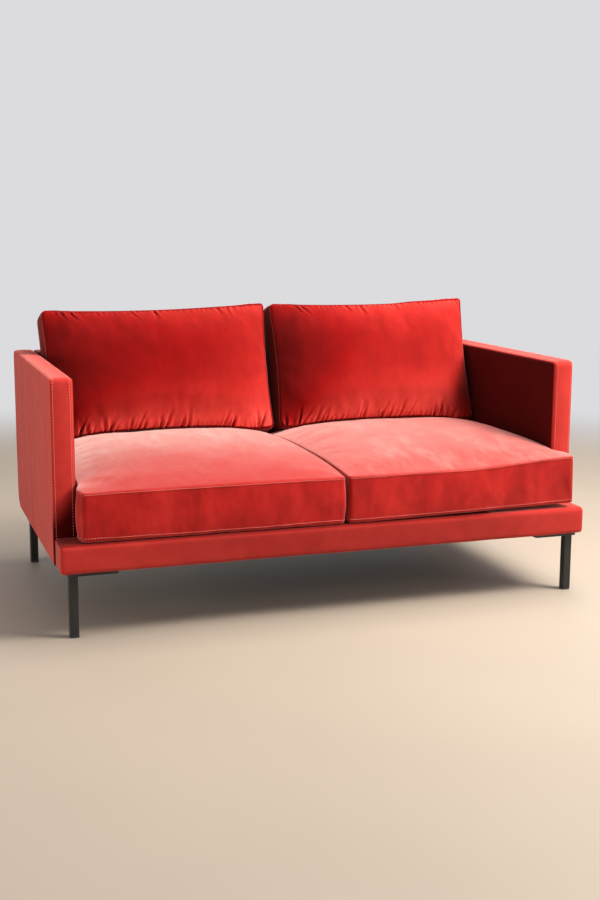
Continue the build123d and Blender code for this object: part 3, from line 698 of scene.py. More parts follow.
def seat_cushion(side):
    """Seat cushion with a crowned top, boxed sides and stitches along both seams."""
    word = WORD[side]
    body = f"{word}_seat_cushion"
    x0, x1 = seat_span(side)
    rows = SEAT_ROWS
    form = Boxed(
        spread((x0, x1), SEAT_CELL, 0.35), spread((SEAT_FACE, SEAT_BACK), SEAT_CELL, 0.35), rows + 4)
    radii = [SEAT_CORNER] * 4
    radii[0 if side < 0 else 1] = SEAT_OUTER_CORNER

    def under(u, v):
        """Height of the underside, which curls up off the rail at the outer front corner."""
        curl = SEAT_CURL[side] * np.clip((u - 0.06) / 0.67, 0, 1) ** 1.3
        return SEAT_LOW + curl * smooth((-0.18 - v) / 0.22)

    def shape(crown):
        def top(u, v):
            flat = SEAT_SEAM + (SEAT_REAR_TOP - SEAT_SEAM) * (v - SEAT_FACE) / (SEAT_BACK - SEAT_FACE)
            return flat + crown * (seat_top(side, u, v) - flat)

        def wall(share):
            def height(u, v):
                low = under(u, v)
                return low + LIP + (top(u, v) - SEAT_SEAM_DROP - low - LIP) * share
            return height

        profile = [(inset, raised(under, rise)) for inset, rise in SEAT_FOOT]
        for share in np.linspace(0, 1, rows):
            profile.append((0.0012 - 0.0042 * math.sin(math.pi * share), wall(share)))
        profile += [(inset, raised(top, rise)) for inset, rise in SEAT_HEAD]
        points = form.points((0.0135, raised(under, 0.0004)), (0.0060, raised(top, 0.0018)), profile, radii)
        share = np.clip((points[:, 2] - SEAT_LIP) / (SEAT_SEAM - SEAT_LIP), 0, 1)
        points = seat_bend(side, points, share)
        clear_arm(side, points, points[:, 1], ARM_IN - SEAT_GAP)
        points[:, 1] = np.minimum(points[:, 1], SEAT_BACK)
        return points

    target = shape(1.0)
    part = form.high_panel()
    part[form.rings(rows + 4)] = 1.0
    seam = form.rings(2, 3, rows + 2, rows + 3, rows + 4)
    held = np.concatenate([np.arange(form.size), form.rings(1)])
    points = creased(target, shape(SIM_CROWN), form.faces, seam, held, 0.05, SEAT_SIM_SHARE)
    obj = new_object(body, points, form.faces, velvet)
    tags = subdivided(obj, {"x": target[:, 0], "y": target[:, 1], "z": target[:, 2], "top": part})
    fine = get_points(obj.data)
    normal = get_normals(obj.data)
    x, y = tags["x"], tags["y"]
    rest = np.stack([x, y, tags["z"]], axis=1)
    top = smooth((tags["top"] - 0.5) * 2)
    from_edge = np.minimum.reduce([x - x0, x1 - x, y - SEAT_FACE])
    broad = noise(rest, (0.16, 0.13, 0.2), 3 + side)
    fine += normal * (top * smooth((from_edge - 0.02) / 0.1) * 0.0028 * broad)[:, None]
    front = smooth((SEAT_FACE + 0.03 - y) / 0.03) * (1 - top)
    folds = noise(rest, (0.05, 1.0, 0.22), 11 + side)
    fine += normal * (front * 0.0013 * folds)[:, None]
    clear_arm(side, fine, y, ARM_IN - 0.0008)
    fine[:, 2] = np.maximum(fine[:, 2], SEAT_LOW)
    set_points(obj.data, fine)
    # Painted light on the seat top: pinker towards the rear, a painted sheen; on the right cushion an even
    # share that falls to painted shade along its left edge
    nap_and_painted_light = smooth((seat_depth(y) - 0.18) / 0.62)
    if side > 0:
        nap_and_painted_light = (0.22 + 0.08 * nap_and_painted_light) * smooth((x - x0 - 0.01) / 0.17)
    set_pile_and_painted_light(obj, top * nap_and_painted_light)
    two_cloths(obj, top, velvet_boxing)
    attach(obj, body)
    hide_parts(f"{word}_seat_cushion_cover", f"{word}_seat_cushion_core")
    for label, ring, offset in (("top", rows + 2, -0.0012), ("low", 3, 0.0030)):
        line = points[form.rings(ring)]
        line[:, 2] += offset
        sew(obj, f"{word}_seat_cushion_{label}_stitches", line, body)


# Back cushions

FOOT_Y = back_face(BACK_FOOT_Z) - 0.0008 / math.cos(RAKE)
UP = np.array([0.0, math.sin(RAKE), math.cos(RAKE)])
OUT = np.array([0.0, -math.cos(RAKE), math.sin(RAKE)])
BACK_SPAN = {-1: (-ARM_IN + 0.0025, 0.006), 1: (0.025, ARM_IN - 0.0025)}
BACK_ROWS = 10
BACK_RADII = (0.020, 0.020, 0.016, 0.016)
BACK_SIM_SHARE = 0.4
LOW_GATHER, HIGH_GATHER = 0.0072, 0.0048

# Lift of the two top corners, step up of the right cushion's top, and painted light across the front, darker
# at the left and lighter to the right
BACK_TILT = {-1: (-0.0075, 0.0055), 1: (0.002, 0.008)}
BACK_STEP = {-1: 0.0, 1: 0.004}
PAINTED_LIGHT_PLACES = (0.0, 0.09, 0.30, 0.45, 0.72, 0.92, 1.0)
PAINTED_LIGHT_ACROSS = {-1: (0.05, 0.09, 0.17, 0.22, 0.29, 0.38, 0.46), 1: (0.02, 0.05, 0.22, 0.33, 0.38, 0.42, 0.48)}
FOLD_SHADE = 100.0


def lean_back(points):
    """Points (x, height up the back, depth off the back) in the settee's frame."""
    origin = np.array([0.0, FOOT_Y, BACK_FOOT_Z])
    world = origin + np.outer(points[:, 1], UP) + np.outer(points[:, 2], OUT)
    world[:, 0] = points[:, 0]
    return world


def puckers(seed, low, high, reach, slant, clusters, crowd):
    """Gathers along a seam in loose clusters: place along it, length, slant, depth and width of each."""
    rng = np.random.default_rng(seed)

    def fold(where, lengths, turn, depths, widths):
        length = reach * rng.uniform(*lengths)
        return where, length, slant + rng.normal(0, turn), rng.uniform(*depths), rng.uniform(*widths)

    folds = []
    for k in range(clusters):
        centre = low + (high - low) * (k + rng.uniform(0.15, 0.85)) / clusters
        for _ in range(rng.integers(crowd[0], crowd[1] + 1)):
            where = centre + rng.normal(0, 0.016)
            folds.append(fold(where, (0.55, 1.1), 0.22, (0.6, 1.0), (0.0034, 0.0050)))
    for step in np.arange(low + 0.012, high - 0.008, 0.019):
        where = step + rng.uniform(-0.007, 0.007)
        folds.append(fold(where, (0.2, 0.42), 0.3, (0.2, 0.5), (0.003, 0.0042)))
    return folds


def gather(x, rise, folds):
    """Depth of the gathers at a place along a seam and a distance from it."""
    depth = np.zeros_like(x)
    for where, length, slant, strength, width in folds:
        near = (np.abs(x - where) < 0.06) & (rise < length) & (rise > -0.006)
        share = np.clip(rise[near] / length, 0, 1)
        gap = (x[near] - where - slant * rise[near]) / (width * (1 + 0.5 * share))
        fold = np.exp(-gap**2) - 0.6 * np.exp(-((np.abs(gap) - 1.8) ** 2) / 0.8)
        depth[near] += strength * (1 - share) ** 1.2 * fold
    return depth


def edge_height(form, local, limit, x):
    """Height at x of the front panel's edge that lies on one limit of the grid."""
    on = form.ring_index[-1][form.v[form.loop] == limit]
    on = on[np.argsort(local[on, 0])]
    return np.interp(x, local[on, 0], local[on, 1])


def back_cushion(side):
    """Back cushion with a crowned front, gathered seams and stitches along the front seam."""
    word = WORD[side]
    body = f"{word}_back_cushion"
    ends = BACK_SPAN[side]
    x0, x1 = ends
    rows = BACK_ROWS
    form = Boxed(spread(ends, 0.0062, 0.15), spread((0.0, BACK_HEIGHT), 0.0095, 0.35), rows + 4)

    def bend(points):
        """Ears at the top corners, drawn-in sides and the seat's crown under the foot."""
        x, h, d = points.T
        s = np.clip(across(x, ends), -1, 1)
        t = np.clip(h / BACK_HEIGHT, 0, 1)
        step = BACK_STEP[side] * smooth((s - 0.22) / 0.25)
        low, high = BACK_TILT[side]
        ear = 0.010 * np.abs(s) ** 2.2 + step + low + (high - low) * (s + 1) / 2
        x = x - 0.008 * np.sin(np.pi * t) * np.abs(s) ** 3 * np.sign(s)
        y = FOOT_Y + h * UP[1] + d * OUT[1]
        floor = np.where(y < SEAT_BACK + 0.004, seat_top(side, x, y) + 0.0022, BACK_FOOT_Z - 0.004)
        lowest = (floor - BACK_FOOT_Z - d * OUT[2]) / UP[2]
        h = h + ear * t + np.maximum(lowest, -0.004) * (1 - t) ** 2
        return np.stack([x, h, d], axis=1)

    def shape(crown):
        def face(u, v):
            s = np.clip(across(u, ends), -1, 1)
            t = np.clip(v / BACK_HEIGHT, 0, 1)
            swell = (1 - np.abs(2 * t - 1) ** 3.4) * (1 - np.abs(s) ** 4.0)
            settle = 0.010 * np.exp(-(((t - 0.22) / 0.16) ** 2)) * (1 - s**2)
            return BACK_BORDER + crown * (BACK_CROWN * swell + settle)

        profile = [(0.0030, level(0.0010))]
        for share in np.linspace(0, 1, rows):
            height = level(0.0035 + (BACK_BORDER - 0.0015 - 0.0035) * share)
            profile.append((0.0008 - 0.004 * math.sin(math.pi * share), height))
        profile += [(offset, level(BACK_BORDER + offset)) for offset in (0.0006, 0.0022)]
        profile.append((0.0050, raised(face, 0.0030)))
        return bend(form.points((0.0090, level(0.0)), (0.0095, raised(face, 0.0042)), profile, BACK_RADII))

    local = shape(1.0)
    part = form.high_panel()
    seam = form.rings(1, 2, rows + 1, rows + 2, rows + 3)
    start = lean_back(shape(SIM_CROWN))
    points = creased(lean_back(local), start, form.faces, seam, np.arange(form.size), 0.07, BACK_SIM_SHARE)
    obj = new_object(body, points, form.faces, velvet_back)
    tags = subdivided(obj, {"x": local[:, 0], "h": local[:, 1], "d": local[:, 2], "top": part})
    fine = get_points(obj.data)
    normal = get_normals(obj.data)
    x, h, d = tags["x"], tags["h"], tags["d"]
    front = smooth((tags["top"] - 0.4) / 0.3)
    above_low = h - edge_height(form, local, form.limits[2], x)
    below_high = edge_height(form, local, form.limits[3], x) - h
    folds_low = puckers(5 + side, x0 + 0.01, x1 - 0.01, 0.056, 0.30, 7, (2, 4))
    folds_high = puckers(25 + side, x0 + 0.03, x1 - 0.03, 0.040, 0.55, 5, (1, 2))
    depth = LOW_GATHER * gather(x, above_low, folds_low) + HIGH_GATHER * gather(x, below_high, folds_high)
    depth = front * depth
    crease = noise(np.stack([x, h, d], axis=1), (0.12, 0.10, 0.3), 41 + side)
    fine -= normal * depth[:, None]
    fine += normal * (front * 0.0016 * crease)[:, None]
    set_points(obj.data, fine)
    along = (x - x0) / (x1 - x0)
    # Painted light on the front panel: darker at the left and lighter to the right, lighter along the low
    # seam (least at the left end) and along the top seam
    front_painted_light = np.interp(along, PAINTED_LIGHT_PLACES, PAINTED_LIGHT_ACROSS[side])
    front_painted_light += np.exp(-np.maximum(above_low, 0) / 0.060) * (0.25 + 0.75 * smooth(along / 0.25))
    front_painted_light += 0.25 * np.exp(-np.maximum(below_high, 0) / 0.035)
    # Painted shadow of the right arm on the low outer corner of the right cushion
    if side > 0:
        arm_shadow = smooth((along - 0.84) / 0.14) * smooth((0.55 - h / BACK_HEIGHT) / 0.35)
        front_painted_light *= 1 - 0.8 * arm_shadow
    # Painted shade on the boxing and rear, a little lighter near the top; the gathers take painted shade in
    # their hollows and a painted highlight on their ridges
    rear_painted_shade = 0.12 + 0.3 * smooth(h / BACK_HEIGHT - 0.6)
    set_pile_and_painted_light(obj, np.where(front > 0.5, front_painted_light, rear_painted_shade) - FOLD_SHADE * depth)
    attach(obj, body)
    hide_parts(f"{word}_back_cushion_cover", f"{word}_back_cushion_core")
    line = points[form.rings(rows + 1)] - 0.0045 * OUT
    sew(obj, f"{word}_back_cushion_front_stitches", line, body)


# Frame upholstery

ARM_EDGE = 0.012
ARM_GAP = 0.0010
ARM_THICK = HALF - ARM_IN - ARM_GAP
ARM_CELL = 0.012
ARM_RADII = (0.004, REAR_RADIUS, 0.030, 0.014)
ARM_SEAM = ((0.0000, 0.0060), (0.0003, 0.0036), (0.0022, 0.0026), (0.0008, 0.0014), (0.0022, -0.0006))
ARM_SEAM_RING = 11


def arm_pillow(u, v):
    """Height of an arm's outer panel, which swells a little in the middle."""
    rise = np.sin(np.pi * (u - ARM_FRONT) / (REAR - ARM_FRONT))
    rise = rise * np.sin(np.pi * (v - BASE_LOW) / (ARM_TOP - BASE_LOW))
    return ARM_THICK + 0.0010 + 0.0030 * np.clip(rise, 0, 1) ** 0.5


def arm(side):
    """Upholstered arm with soft inner edges, a seamed outer panel and stitches along both edges."""
    word = WORD[side]
    profile = []
    for k in range(1, 5):
        a = math.pi / 2 * k / 4
        profile.append((ARM_EDGE * (1 - math.sin(a)), level(ARM_EDGE * (1 - math.cos(a)))))
    for k in range(1, 7):
        share = k / 7
        height = level(ARM_EDGE + (ARM_THICK - ARM_SEAM[0][1] - ARM_EDGE) * share)
        profile.append((-0.0018 * math.sin(math.pi * share), height))
    profile += [(inset, level(ARM_THICK - back_off)) for inset, back_off in ARM_SEAM]
    form = Boxed(
        spread((ARM_FRONT, REAR), ARM_CELL, 0.3), spread((BASE_LOW, ARM_TOP), ARM_CELL, 0.3), len(profile))
    points = form.points((ARM_EDGE, level(0.0)), (0.006, arm_pillow), profile, ARM_RADII)
    world = np.stack([side * (ARM_IN + ARM_GAP + points[:, 2]), points[:, 0], points[:, 1]], axis=1)
    faces = form.faces if side > 0 else [tuple(reversed(f)) for f in form.faces]
    obj = new_object(f"{word}_arm_upholstery", world, faces, velvet_upright)
    tags = subdivided(obj, {"outer": form.high_panel()})
    fine = get_points(obj.data)
    outward = np.abs(fine[:, 0]) - ARM_IN
    # Painted shade on the inner face: the share falls to 0 there, and those faces take the shaded copy of
    # the velvet
    free_of_painted_shade = smooth((outward - 0.0016) / 0.0035)
    # Painted shadow of the seat cushion on the low part of the left arm's front
    if side < 0:
        cushion_shadow = smooth((0.43 - outward - fine[:, 2]) / 0.09)
        cushion_shadow = cushion_shadow * smooth((ARM_FRONT + 0.016 - fine[:, 1]) / 0.010)
        free_of_painted_shade = free_of_painted_shade * (1 - cushion_shadow)
    set_pile_and_painted_light(obj, 0.9 * free_of_painted_shade)
    two_cloths(obj, free_of_painted_shade, velvet_painted_shade)
    ripple = noise(fine, (0.2, 0.10, 0.28), 61 + side)
    fine += get_normals(obj.data) * (smooth(tags["outer"]) * 0.0016 * ripple)[:, None]
    set_points(obj.data, fine)
    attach(obj, "frame")
    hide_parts(f"{word}_arm_cover", f"{word}_arm_foam")
    ring = world[form.rings(ARM_SEAM_RING)]
    keep = ring[:, 2] > BASE_LOW + 0.004
    start = int(np.argmax(~keep & np.roll(keep, -1))) + 1
    line = np.roll(ring, -start, axis=0)[: int(keep.sum())]
    for label, depth in (("outer", ARM_THICK - 0.0075), ("inner", 0.0120)):
        line[:, 0] = side * (ARM_IN + ARM_GAP + depth)
        sew(obj, f"{word}_arm_{label}_stitches", line, "frame")


def rounded_profile(corners, steps, spacing):
    """Closed outline through corners (y, z, radius), with arcs at the rounded ones and filled long runs."""
    outline = []
    for k, (y, z, radius) in enumerate(corners):
        here = np.array([y, z])
        if radius <= 0:
            outline.append(here)
            continue
        before = np.array(corners[k - 1][:2]) - here
        after = np.array(corners[(k + 1) % len(corners)][:2]) - here
        before /= np.linalg.norm(before)
        after /= np.linalg.norm(after)
        half = math.acos(float(np.clip(before @ after, -1, 1))) / 2
        reach = radius / math.tan(half)
        centre = here + (before + after) / np.linalg.norm(before + after) * radius / math.sin(half)
        a = here + before * reach - centre
        b = here + after * reach - centre
        turn = math.acos(float(np.clip(a @ b / radius**2, -1, 1)))
        for share in np.linspace(0, 1, steps):
            arc = math.sin((1 - share) * turn) * a + math.sin(share * turn) * b
            outline.append(centre + arc / math.sin(turn))
    points = []
    for k, here in enumerate(outline):
        there = outline[(k + 1) % len(outline)]
        count = max(1, int(round(np.linalg.norm(there - here) / spacing)))
        points += [here + (there - here) * i / count for i in range(count)]
    return np.array(points)


def swept(name, outline, half_length, spacing, edge):
    """Long padded bar along X, with an outline that runs anticlockwise in (y, z) and rounded ends."""
    run = np.roll(outline, -1, axis=0) - np.roll(outline, 1, axis=0)
    run /= np.linalg.norm(run, axis=1, keepdims=True)
    into = np.stack([-run[:, 1], run[:, 0]], axis=1)
    centre = outline.mean(axis=0)

    def end(sign):
        """Places and sections from the middle of an end face out to its rounded edge."""
        rows = []
        for share in (0.15, 0.45, 0.75, 0.92):
            x = sign * (half_length + 0.0012 * (1 - share))
            rows.append((x, (outline + into * edge) * share + centre * (1 - share)))
        for k in range(4):
            a = math.pi / 2 * k / 4
            x = sign * (half_length - edge * (1 - math.cos(a)))
            rows.append((x, outline + into * edge * (1 - math.sin(a))))
        return rows

    middle = [(x, outline) for x in spread((-half_length + edge, half_length - edge), spacing)]
    rows = end(-1) + middle + end(1)[::-1]
    n = len(outline)
    verts = [(x, *p) for x, section in rows for p in section]
    faces = []
    for first in range(0, (len(rows) - 1) * n, n):
        for i in range(n):
            j = (i + 1) % n
            faces.append((first + j, first + n + j, first + n + i, first + i))
    faces.append(tuple(reversed(range(n))))
    last = (len(rows) - 1) * n
    faces.append(tuple(range(last, last + n)))
    return new_object(name, verts, faces, velvet_upright)


def front_rail():
    """Upholstered front rail, its face slightly slack."""
    outline = rounded_profile([
        (FRONT, BASE_LOW, 0.013),
        (ARM_FRONT, BASE_LOW, 0.004),
        (ARM_FRONT, BASE_TOP, 0.004),
        (FRONT, BASE_TOP, 0.015),
    ], 7, 0.010)
    obj = swept("front_rail_upholstery", outline, HALF - 0.001, 0.012, 0.009)
    subdivided(obj, {})
    points = get_points(obj.data)
    face = smooth((FRONT + 0.02 - points[:, 1]) / 0.02)
    sag = noise(points, (0.14, 1.0, 0.09), 71)
    points += get_normals(obj.data) * (face * 0.0012 * sag)[:, None]
    set_points(obj.data, points)
    # Painted light on the rail: lighter towards both ends of the front as a painted highlight, and the top
    # in painted shadow except a painted sheen at its right end; the shadowed top faces take the shaded copy
    # of the velvet
    ends = smooth((np.abs(points[:, 0] - 0.05) - 0.40) / 0.35)
    top_painted_light = 0.20 + 0.50 * smooth((points[:, 0] - 0.35) / 0.3)
    down = smooth((BASE_TOP - 0.001 - points[:, 2]) / 0.008)
    nap_and_painted_light = top_painted_light + (0.55 + 0.20 * ends - top_painted_light) * down
    set_pile_and_painted_light(obj, nap_and_painted_light)
    two_cloths(obj, nap_and_painted_light + 0.1, velvet_painted_shade)
    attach(obj, "frame")
    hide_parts("front_rail_cover", "front_rail_foam")


def back_rest():
    """Upholstered raked back between the arms."""
    hem = REAR - REAR_RADIUS - BACK_HEM
    outline = rounded_profile([
        (back_face(BACK_LOW), BACK_LOW, 0),
        (hem, BACK_LOW, 0),
        (hem, BASE_LOW, 0),
        (REAR, BASE_LOW, REAR_RADIUS),
        (REAR, ARM_TOP, 0.030),
        (back_face(ARM_TOP), ARM_TOP, 0.015),
    ], 9, 0.014)
    obj = swept("back_upholstery", outline, ARM_IN, 0.016, 0.0005)
    subdivided(obj, {})
    points = get_points(obj.data)
    behind = smooth((points[:, 1] - REAR + 0.01) / 0.01)
    ripple = noise(points, (0.22, 1.0, 0.3), 81)
    points[:, 1] += behind * 0.0016 * ripple
    set_points(obj.data, points)
    set_pile_and_painted_light(obj, 0.3 + 0.6 * behind)
    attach(obj, "frame")
    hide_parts("back_cover", "back_foam")


SHEET_CELL = 0.02


def sheet_of(name, node, bow, up):
    """Stretched lining in the place of a thin node, bowed and rippled a little."""
    lo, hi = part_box(node)
    xs = spread((lo.x, hi.x), SHEET_CELL)
    ys = spread((lo.y, hi.y), SHEET_CELL)
    z = hi.z if up else lo.z
    gx, gy = (g.ravel() for g in np.meshgrid(xs, ys, indexing="ij"))
    sag = np.sin(np.pi * (gx - lo.x) / (hi.x - lo.x)) * np.sin(np.pi * (gy - lo.y) / (hi.y - lo.y))
    wave = noise(np.stack([gx, gy, 0 * gx], axis=1), (0.09, 0.25, 1), 91)
    gz = z + bow * sag**0.5 + 0.0006 * wave * sag
    nv = len(ys)
    faces = []
    for i in range(len(xs) - 1):
        for j in range(nv - 1):
            a = i * nv + j
            quad = (a, a + nv, a + nv + 1, a + 1)
            faces.append(quad if up else tuple(reversed(quad)))
    obj = new_object(name, np.stack([gx, gy, gz], axis=1), faces, lining)
    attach(obj, "frame")
    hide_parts(node)
    return obj


# Zips, welds and staples

X_AXIS, Y_AXIS, Z_AXIS = np.eye(3)
ZIP_PITCH = 0.003
ZIP_TAPE = (0.0088, 0.0004)
ZIP_TAPE_OFF = 0.0054
ZIP_TOOTH = (0.0017, 0.0034, 0.0006)
ZIP_TOOTH_OFF = 0.0008
ZIP_HEAD, ZIP_PULL = (0.011, 0.0075, 0.0008), (0.022, 0.0046, 0.0006)
ZIP_RAISE = 0.0002
BACK_ZIP_HEIGHT = 0.075
WELD_REACH, WELD_CORNER, WELD_STEPS = 0.0035, 0.002, 5
STAPLE = (0.010, 0.0011, 0.0007)
STAPLE_PITCH, STAPLE_MARGIN, STAPLE_RAISE = 0.042, 0.012, 0.0002


def block(centre, axes, size, verts, faces, taper=1.0):
    """Box on three axes added to lists of points and faces, its outer side narrowed by taper."""
    first = len(verts)
    for c in (-0.5, 0.5):
        narrow = taper if c > 0 else 1.0
        for a, b in ((-0.5, -0.5), (0.5, -0.5), (0.5, 0.5), (-0.5, 0.5)):
            flat = axes[0] * size[0] * a * narrow + axes[1] * size[1] * b * narrow
            verts.append(centre + flat + axes[2] * size[2] * c)
    for quad in ((3, 2, 1, 0), (4, 5, 6, 7), (0, 1, 5, 4), (1, 2, 6, 5), (2, 3, 7, 6), (3, 0, 4, 7)):
        faces.append(tuple(first + i for i in quad))


def zipper(side, kind):
    """Zip in the rear of a cushion: woven tape, coil teeth, slider and pull."""
    word = WORD[side]
    node = f"{word}_{kind}_cushion_zip"
    lo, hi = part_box(node)
    if kind == "seat":
        up, out = Z_AXIS, Y_AXIS
        middle = np.array([(lo.x + hi.x) / 2, hi.y, (lo.z + hi.z) / 2])
    else:
        up, out = UP, -OUT
        middle = lean_back(np.array([[(lo.x + hi.x) / 2, BACK_ZIP_HEIGHT, 0.0]]))[0]
    axes = (X_AXIS, -up if np.dot(np.cross(X_AXIS, up), out) < 0 else up, out)
    length = hi.x - lo.x
    tape_v, tape_f, tooth_v, tooth_f = [], [], [], []
    for edge in (-1, 1):
        block(middle + up * edge * ZIP_TAPE_OFF, axes, (length, *ZIP_TAPE), tape_v, tape_f)
    for k in range(int(length / ZIP_PITCH)):
        at = middle + X_AXIS * ((k + 0.5) * ZIP_PITCH - length / 2) + out * ZIP_RAISE
        aside = up * (ZIP_TOOTH_OFF if k % 2 else -ZIP_TOOTH_OFF)
        block(at + aside, axes, ZIP_TOOTH, tooth_v, tooth_f, 0.8)
    head = middle + X_AXIS * (length / 2 - 0.012) + out * ZIP_RAISE
    block(head, axes, ZIP_HEAD, tooth_v, tooth_f, 0.85)
    block(head - X_AXIS * 0.016, axes, ZIP_PULL, tooth_v, tooth_f, 0.9)
    tape = new_object(f"{word}_{kind}_zip_tape", tape_v, tape_f, zip_tape, False)
    teeth = new_object(f"{word}_{kind}_zip_teeth", tooth_v, tooth_f, zip_coil, False)
    for piece in (tape, teeth):
        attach(piece, f"{word}_{kind}_cushion")
    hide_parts(node)


def leg_welds():
    """Weld bead round the top of each leg, where the bar meets its plate."""
    verts, faces = [], []
    corner = LEG_HALF - WELD_CORNER
    rim = []
    for cx, cy, start in ((1, 1, 0), (-1, 1, 90), (-1, -1, 180), (1, -1, 270)):
        for a in (0, 30, 60, 90):
            angle = math.radians(start + a)
            rim.append((cx * corner, cy * corner, math.cos(angle), math.sin(angle)))
    count = len(rim)
    for x, y in [(side * LEG_X, y) for y in LEG_YS for side in SIDES]:
        first = len(verts)
        for k in range(WELD_STEPS):
            turn = math.pi / 2 * k / (WELD_STEPS - 1)
            z = LEG_PLATE_LOW - WELD_REACH * (1 - math.cos(turn))
            for n, (px, py, nx, ny) in enumerate(rim):
                off = WELD_CORNER + WELD_REACH * (1 - math.sin(turn)) + 0.0003 * math.sin(n * 2.7 + k)
                verts.append((x + px + nx * off, y + py + ny * off, z))
        for k in range(WELD_STEPS - 1):
            for n in range(count):
                m = (n + 1) % count
                a = first + k * count
                faces.append((a + n, a + count + n, a + count + m, a + m))
    obj = new_object("leg_welds", verts, faces, metal)
    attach(obj, "frame")


def staples():
    """Staples that hold the dust cover's edge."""
    lo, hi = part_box("dust_cover")
    places = []
    for x in np.arange(lo.x + 0.03, hi.x - 0.02, STAPLE_PITCH):
        places += [(x, y, X_AXIS, -Y_AXIS) for y in (lo.y + STAPLE_MARGIN, hi.y - STAPLE_MARGIN)]
    for y in np.arange(lo.y + 0.05, hi.y - 0.04, STAPLE_PITCH):
        places += [(x, y, Y_AXIS, X_AXIS) for x in (lo.x + STAPLE_MARGIN, hi.x - STAPLE_MARGIN)]
    verts, faces = [], []
    for x, y, along, aside in places:
        centre = np.array([x, y, lo.z - STAPLE_RAISE])
        block(centre, (along, aside, -Z_AXIS), STAPLE, verts, faces, 0.9)
    obj = new_object("dust_cover_staples", verts, faces, steel, False)
    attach(obj, "frame")


leg_welds()
staples()
for side in SIDES:
    zipper(side, "seat")
    zipper(side, "back")
for side in SIDES:
    arm(side)
front_rail()
back_rest()
deck = sheet_of("deck_cloth_sheet", "deck_cloth", -0.0012, True)
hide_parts("deck_pad")
sheet_of("dust_cover_sheet", "dust_cover", 0.0008, False)
for side in SIDES:
    seat_cushion(side)
    back_cushion(side)


# Stage

SKY_TONES = [(0.05, grey(0.33)), (0.50, grey(0.44)), (0.74, (0.715, 0.715, 0.735))]
SKY_FACING = (0.31, 0.275, 0.15)
FLOOR_TONES = [(0.3, (0.325, 0.268, 0.21)), (0.7, (0.355, 0.292, 0.23))]
FLOOR_HALF = 16.0
FADE_FROM, FADE_TO = 2.3, 4.2
LIGHT_AIM = (0.0, -0.1, 0.45)

# Camera fitted to the settee's straight edges in the photograph
EYE = Vector((-1.2724561, -3.8169232, 1.1214165))
YAW, PITCH, ROLL = 0.3306, 0.176, 0.0044
FOCAL_PIXELS, PICTURE_PIXELS = 1280.71, 900
SENSOR = 36.0


def sky_color(tree, direction):
    """Even studio backdrop, paler towards the wall behind and to the right of the settee."""
    facing = tree.vector_math("DOT_PRODUCT", direction)
    facing.inputs[1].default_value = SKY_FACING
    shift = tree.add("Math")
    shift.operation = "ADD"
    shift.inputs[1].default_value = 0.5
    tree.links.new(facing.outputs["Value"], shift.inputs[0])
    return tree.ramp(shift.outputs["Value"], SKY_TONES)


def studio_floor():
    """Plain painted floor that fades into the backdrop far from the settee."""
    mat, shader, tree = material("floor_paint", (0.34, 0.28, 0.22), 0.55, specular=0.3)
    surface = shader.outputs["BSDF"].links[0].to_socket
    cloudy = tree.noise(tree.place(), 0.8, 4.0)
    tree.links.new(tree.ramp(cloudy, FLOOR_TONES), shader.inputs["Base Color"])
    spot = tree.add("TexCoord").outputs["Object"]
    outward = tree.vector_math("NORMALIZE", spot)
    distance = tree.vector_math("LENGTH", spot)
    glow = tree.add("Emission")
    tree.links.new(sky_color(tree, outward.outputs["Vector"]), glow.inputs["Color"])
    far = tree.add("MapRange", **{"From Min": FADE_FROM, "From Max": FADE_TO})
    far.interpolation_type = "SMOOTHSTEP"
    tree.links.new(distance.outputs["Value"], far.inputs["Value"])
    sweep = tree.add("MixShader")
    tree.links.new(far.outputs["Result"], sweep.inputs["Fac"])
    tree.links.new(shader.outputs["BSDF"], sweep.inputs[1])
    tree.links.new(glow.outputs["Emission"], sweep.inputs[2])
    tree.links.new(sweep.outputs["Shader"], surface)
    corners = [(FLOOR_HALF * x, FLOOR_HALF * y, 0) for x, y in ((-1, -1), (1, -1), (1, 1), (-1, 1))]
    return new_object("floor", corners, [(0, 1, 2, 3)], mat)


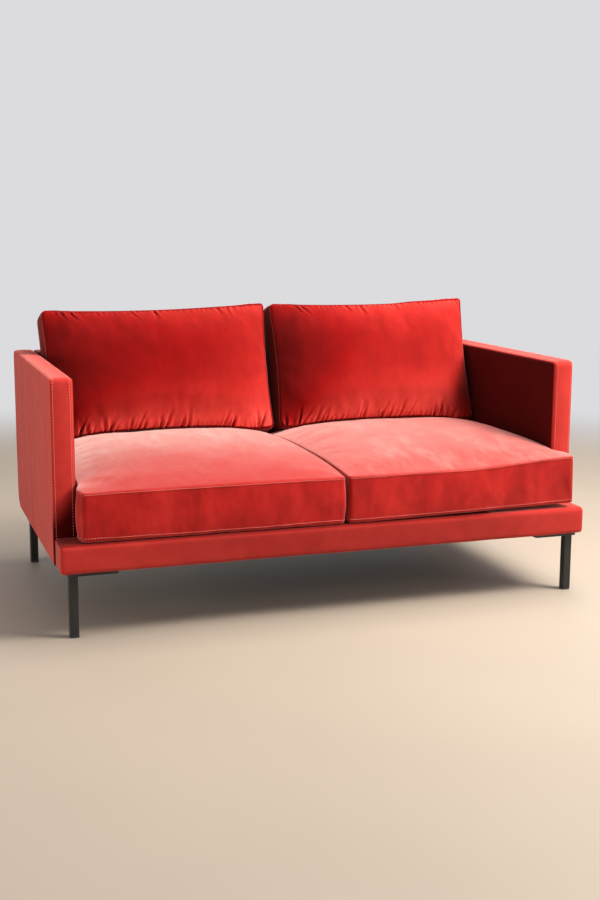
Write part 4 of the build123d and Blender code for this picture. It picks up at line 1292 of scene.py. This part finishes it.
def studio_sky():
    world = bpy.data.worlds.new("studio")
    bpy.context.scene.world = world
    tree = Tree(world)
    background = tree.nodes["Background"]
    around = tree.add("TexCoord").outputs["Generated"]
    tree.links.new(sky_color(tree, around), background.inputs["Color"])
    background.inputs["Strength"].default_value = 1.0


def area_light(name, where, target, size, power, color):
    data = bpy.data.lights.new(name, "AREA")
    data.shape = "RECTANGLE"
    data.size, data.size_y = size
    data.energy = power
    data.color = color
    lamp = bpy.data.objects.new(name, data)
    bpy.context.scene.collection.objects.link(lamp)
    lamp.location = where
    lamp.visible_camera = False
    lamp.rotation_mode = "QUATERNION"
    lamp.rotation_quaternion = (Vector(target) - Vector(where)).to_track_quat("-Z", "Y")


def add_camera():
    right = Vector((math.cos(YAW), -math.sin(YAW), 0))
    ahead = Vector((math.sin(YAW) * math.cos(PITCH), math.cos(YAW) * math.cos(PITCH), -math.sin(PITCH)))
    above = right.cross(ahead)
    rolled = right * math.cos(ROLL) + above * math.sin(ROLL)
    upright = above * math.cos(ROLL) - right * math.sin(ROLL)
    data = bpy.data.cameras.new("camera")
    data.sensor_width = SENSOR
    data.lens = FOCAL_PIXELS / PICTURE_PIXELS * SENSOR
    data.dof.use_dof = False
    camera = bpy.data.objects.new("camera", data)
    bpy.context.scene.collection.objects.link(camera)
    basis = Matrix((rolled, upright, -ahead)).transposed().to_4x4()
    basis.translation = EYE
    camera.matrix_world = basis
    bpy.context.scene.camera = camera


floor = studio_floor()
studio_sky()
area_light("key", (2.4, -1.6, 3.2), LIGHT_AIM, (1.4, 1.4), 275, (1.0, 0.972, 0.935))
area_light("side", (3.1, -2.7, 1.6), (0.0, -0.2, 0.45), (1.2, 1.2), 25, (1.0, 0.965, 0.92))
area_light("fill", (-3.0, -0.9, 0.75), (-0.8, 0.0, 0.45), (1.0, 0.8), 26, (1.0, 0.98, 0.96))
area_light("top", (1.1, 0.1, 3.4), LIGHT_AIM, (1.8, 1.4), 95, (1.0, 0.975, 0.94))
add_camera()
bpy.context.scene.view_settings.view_transform = "Standard"
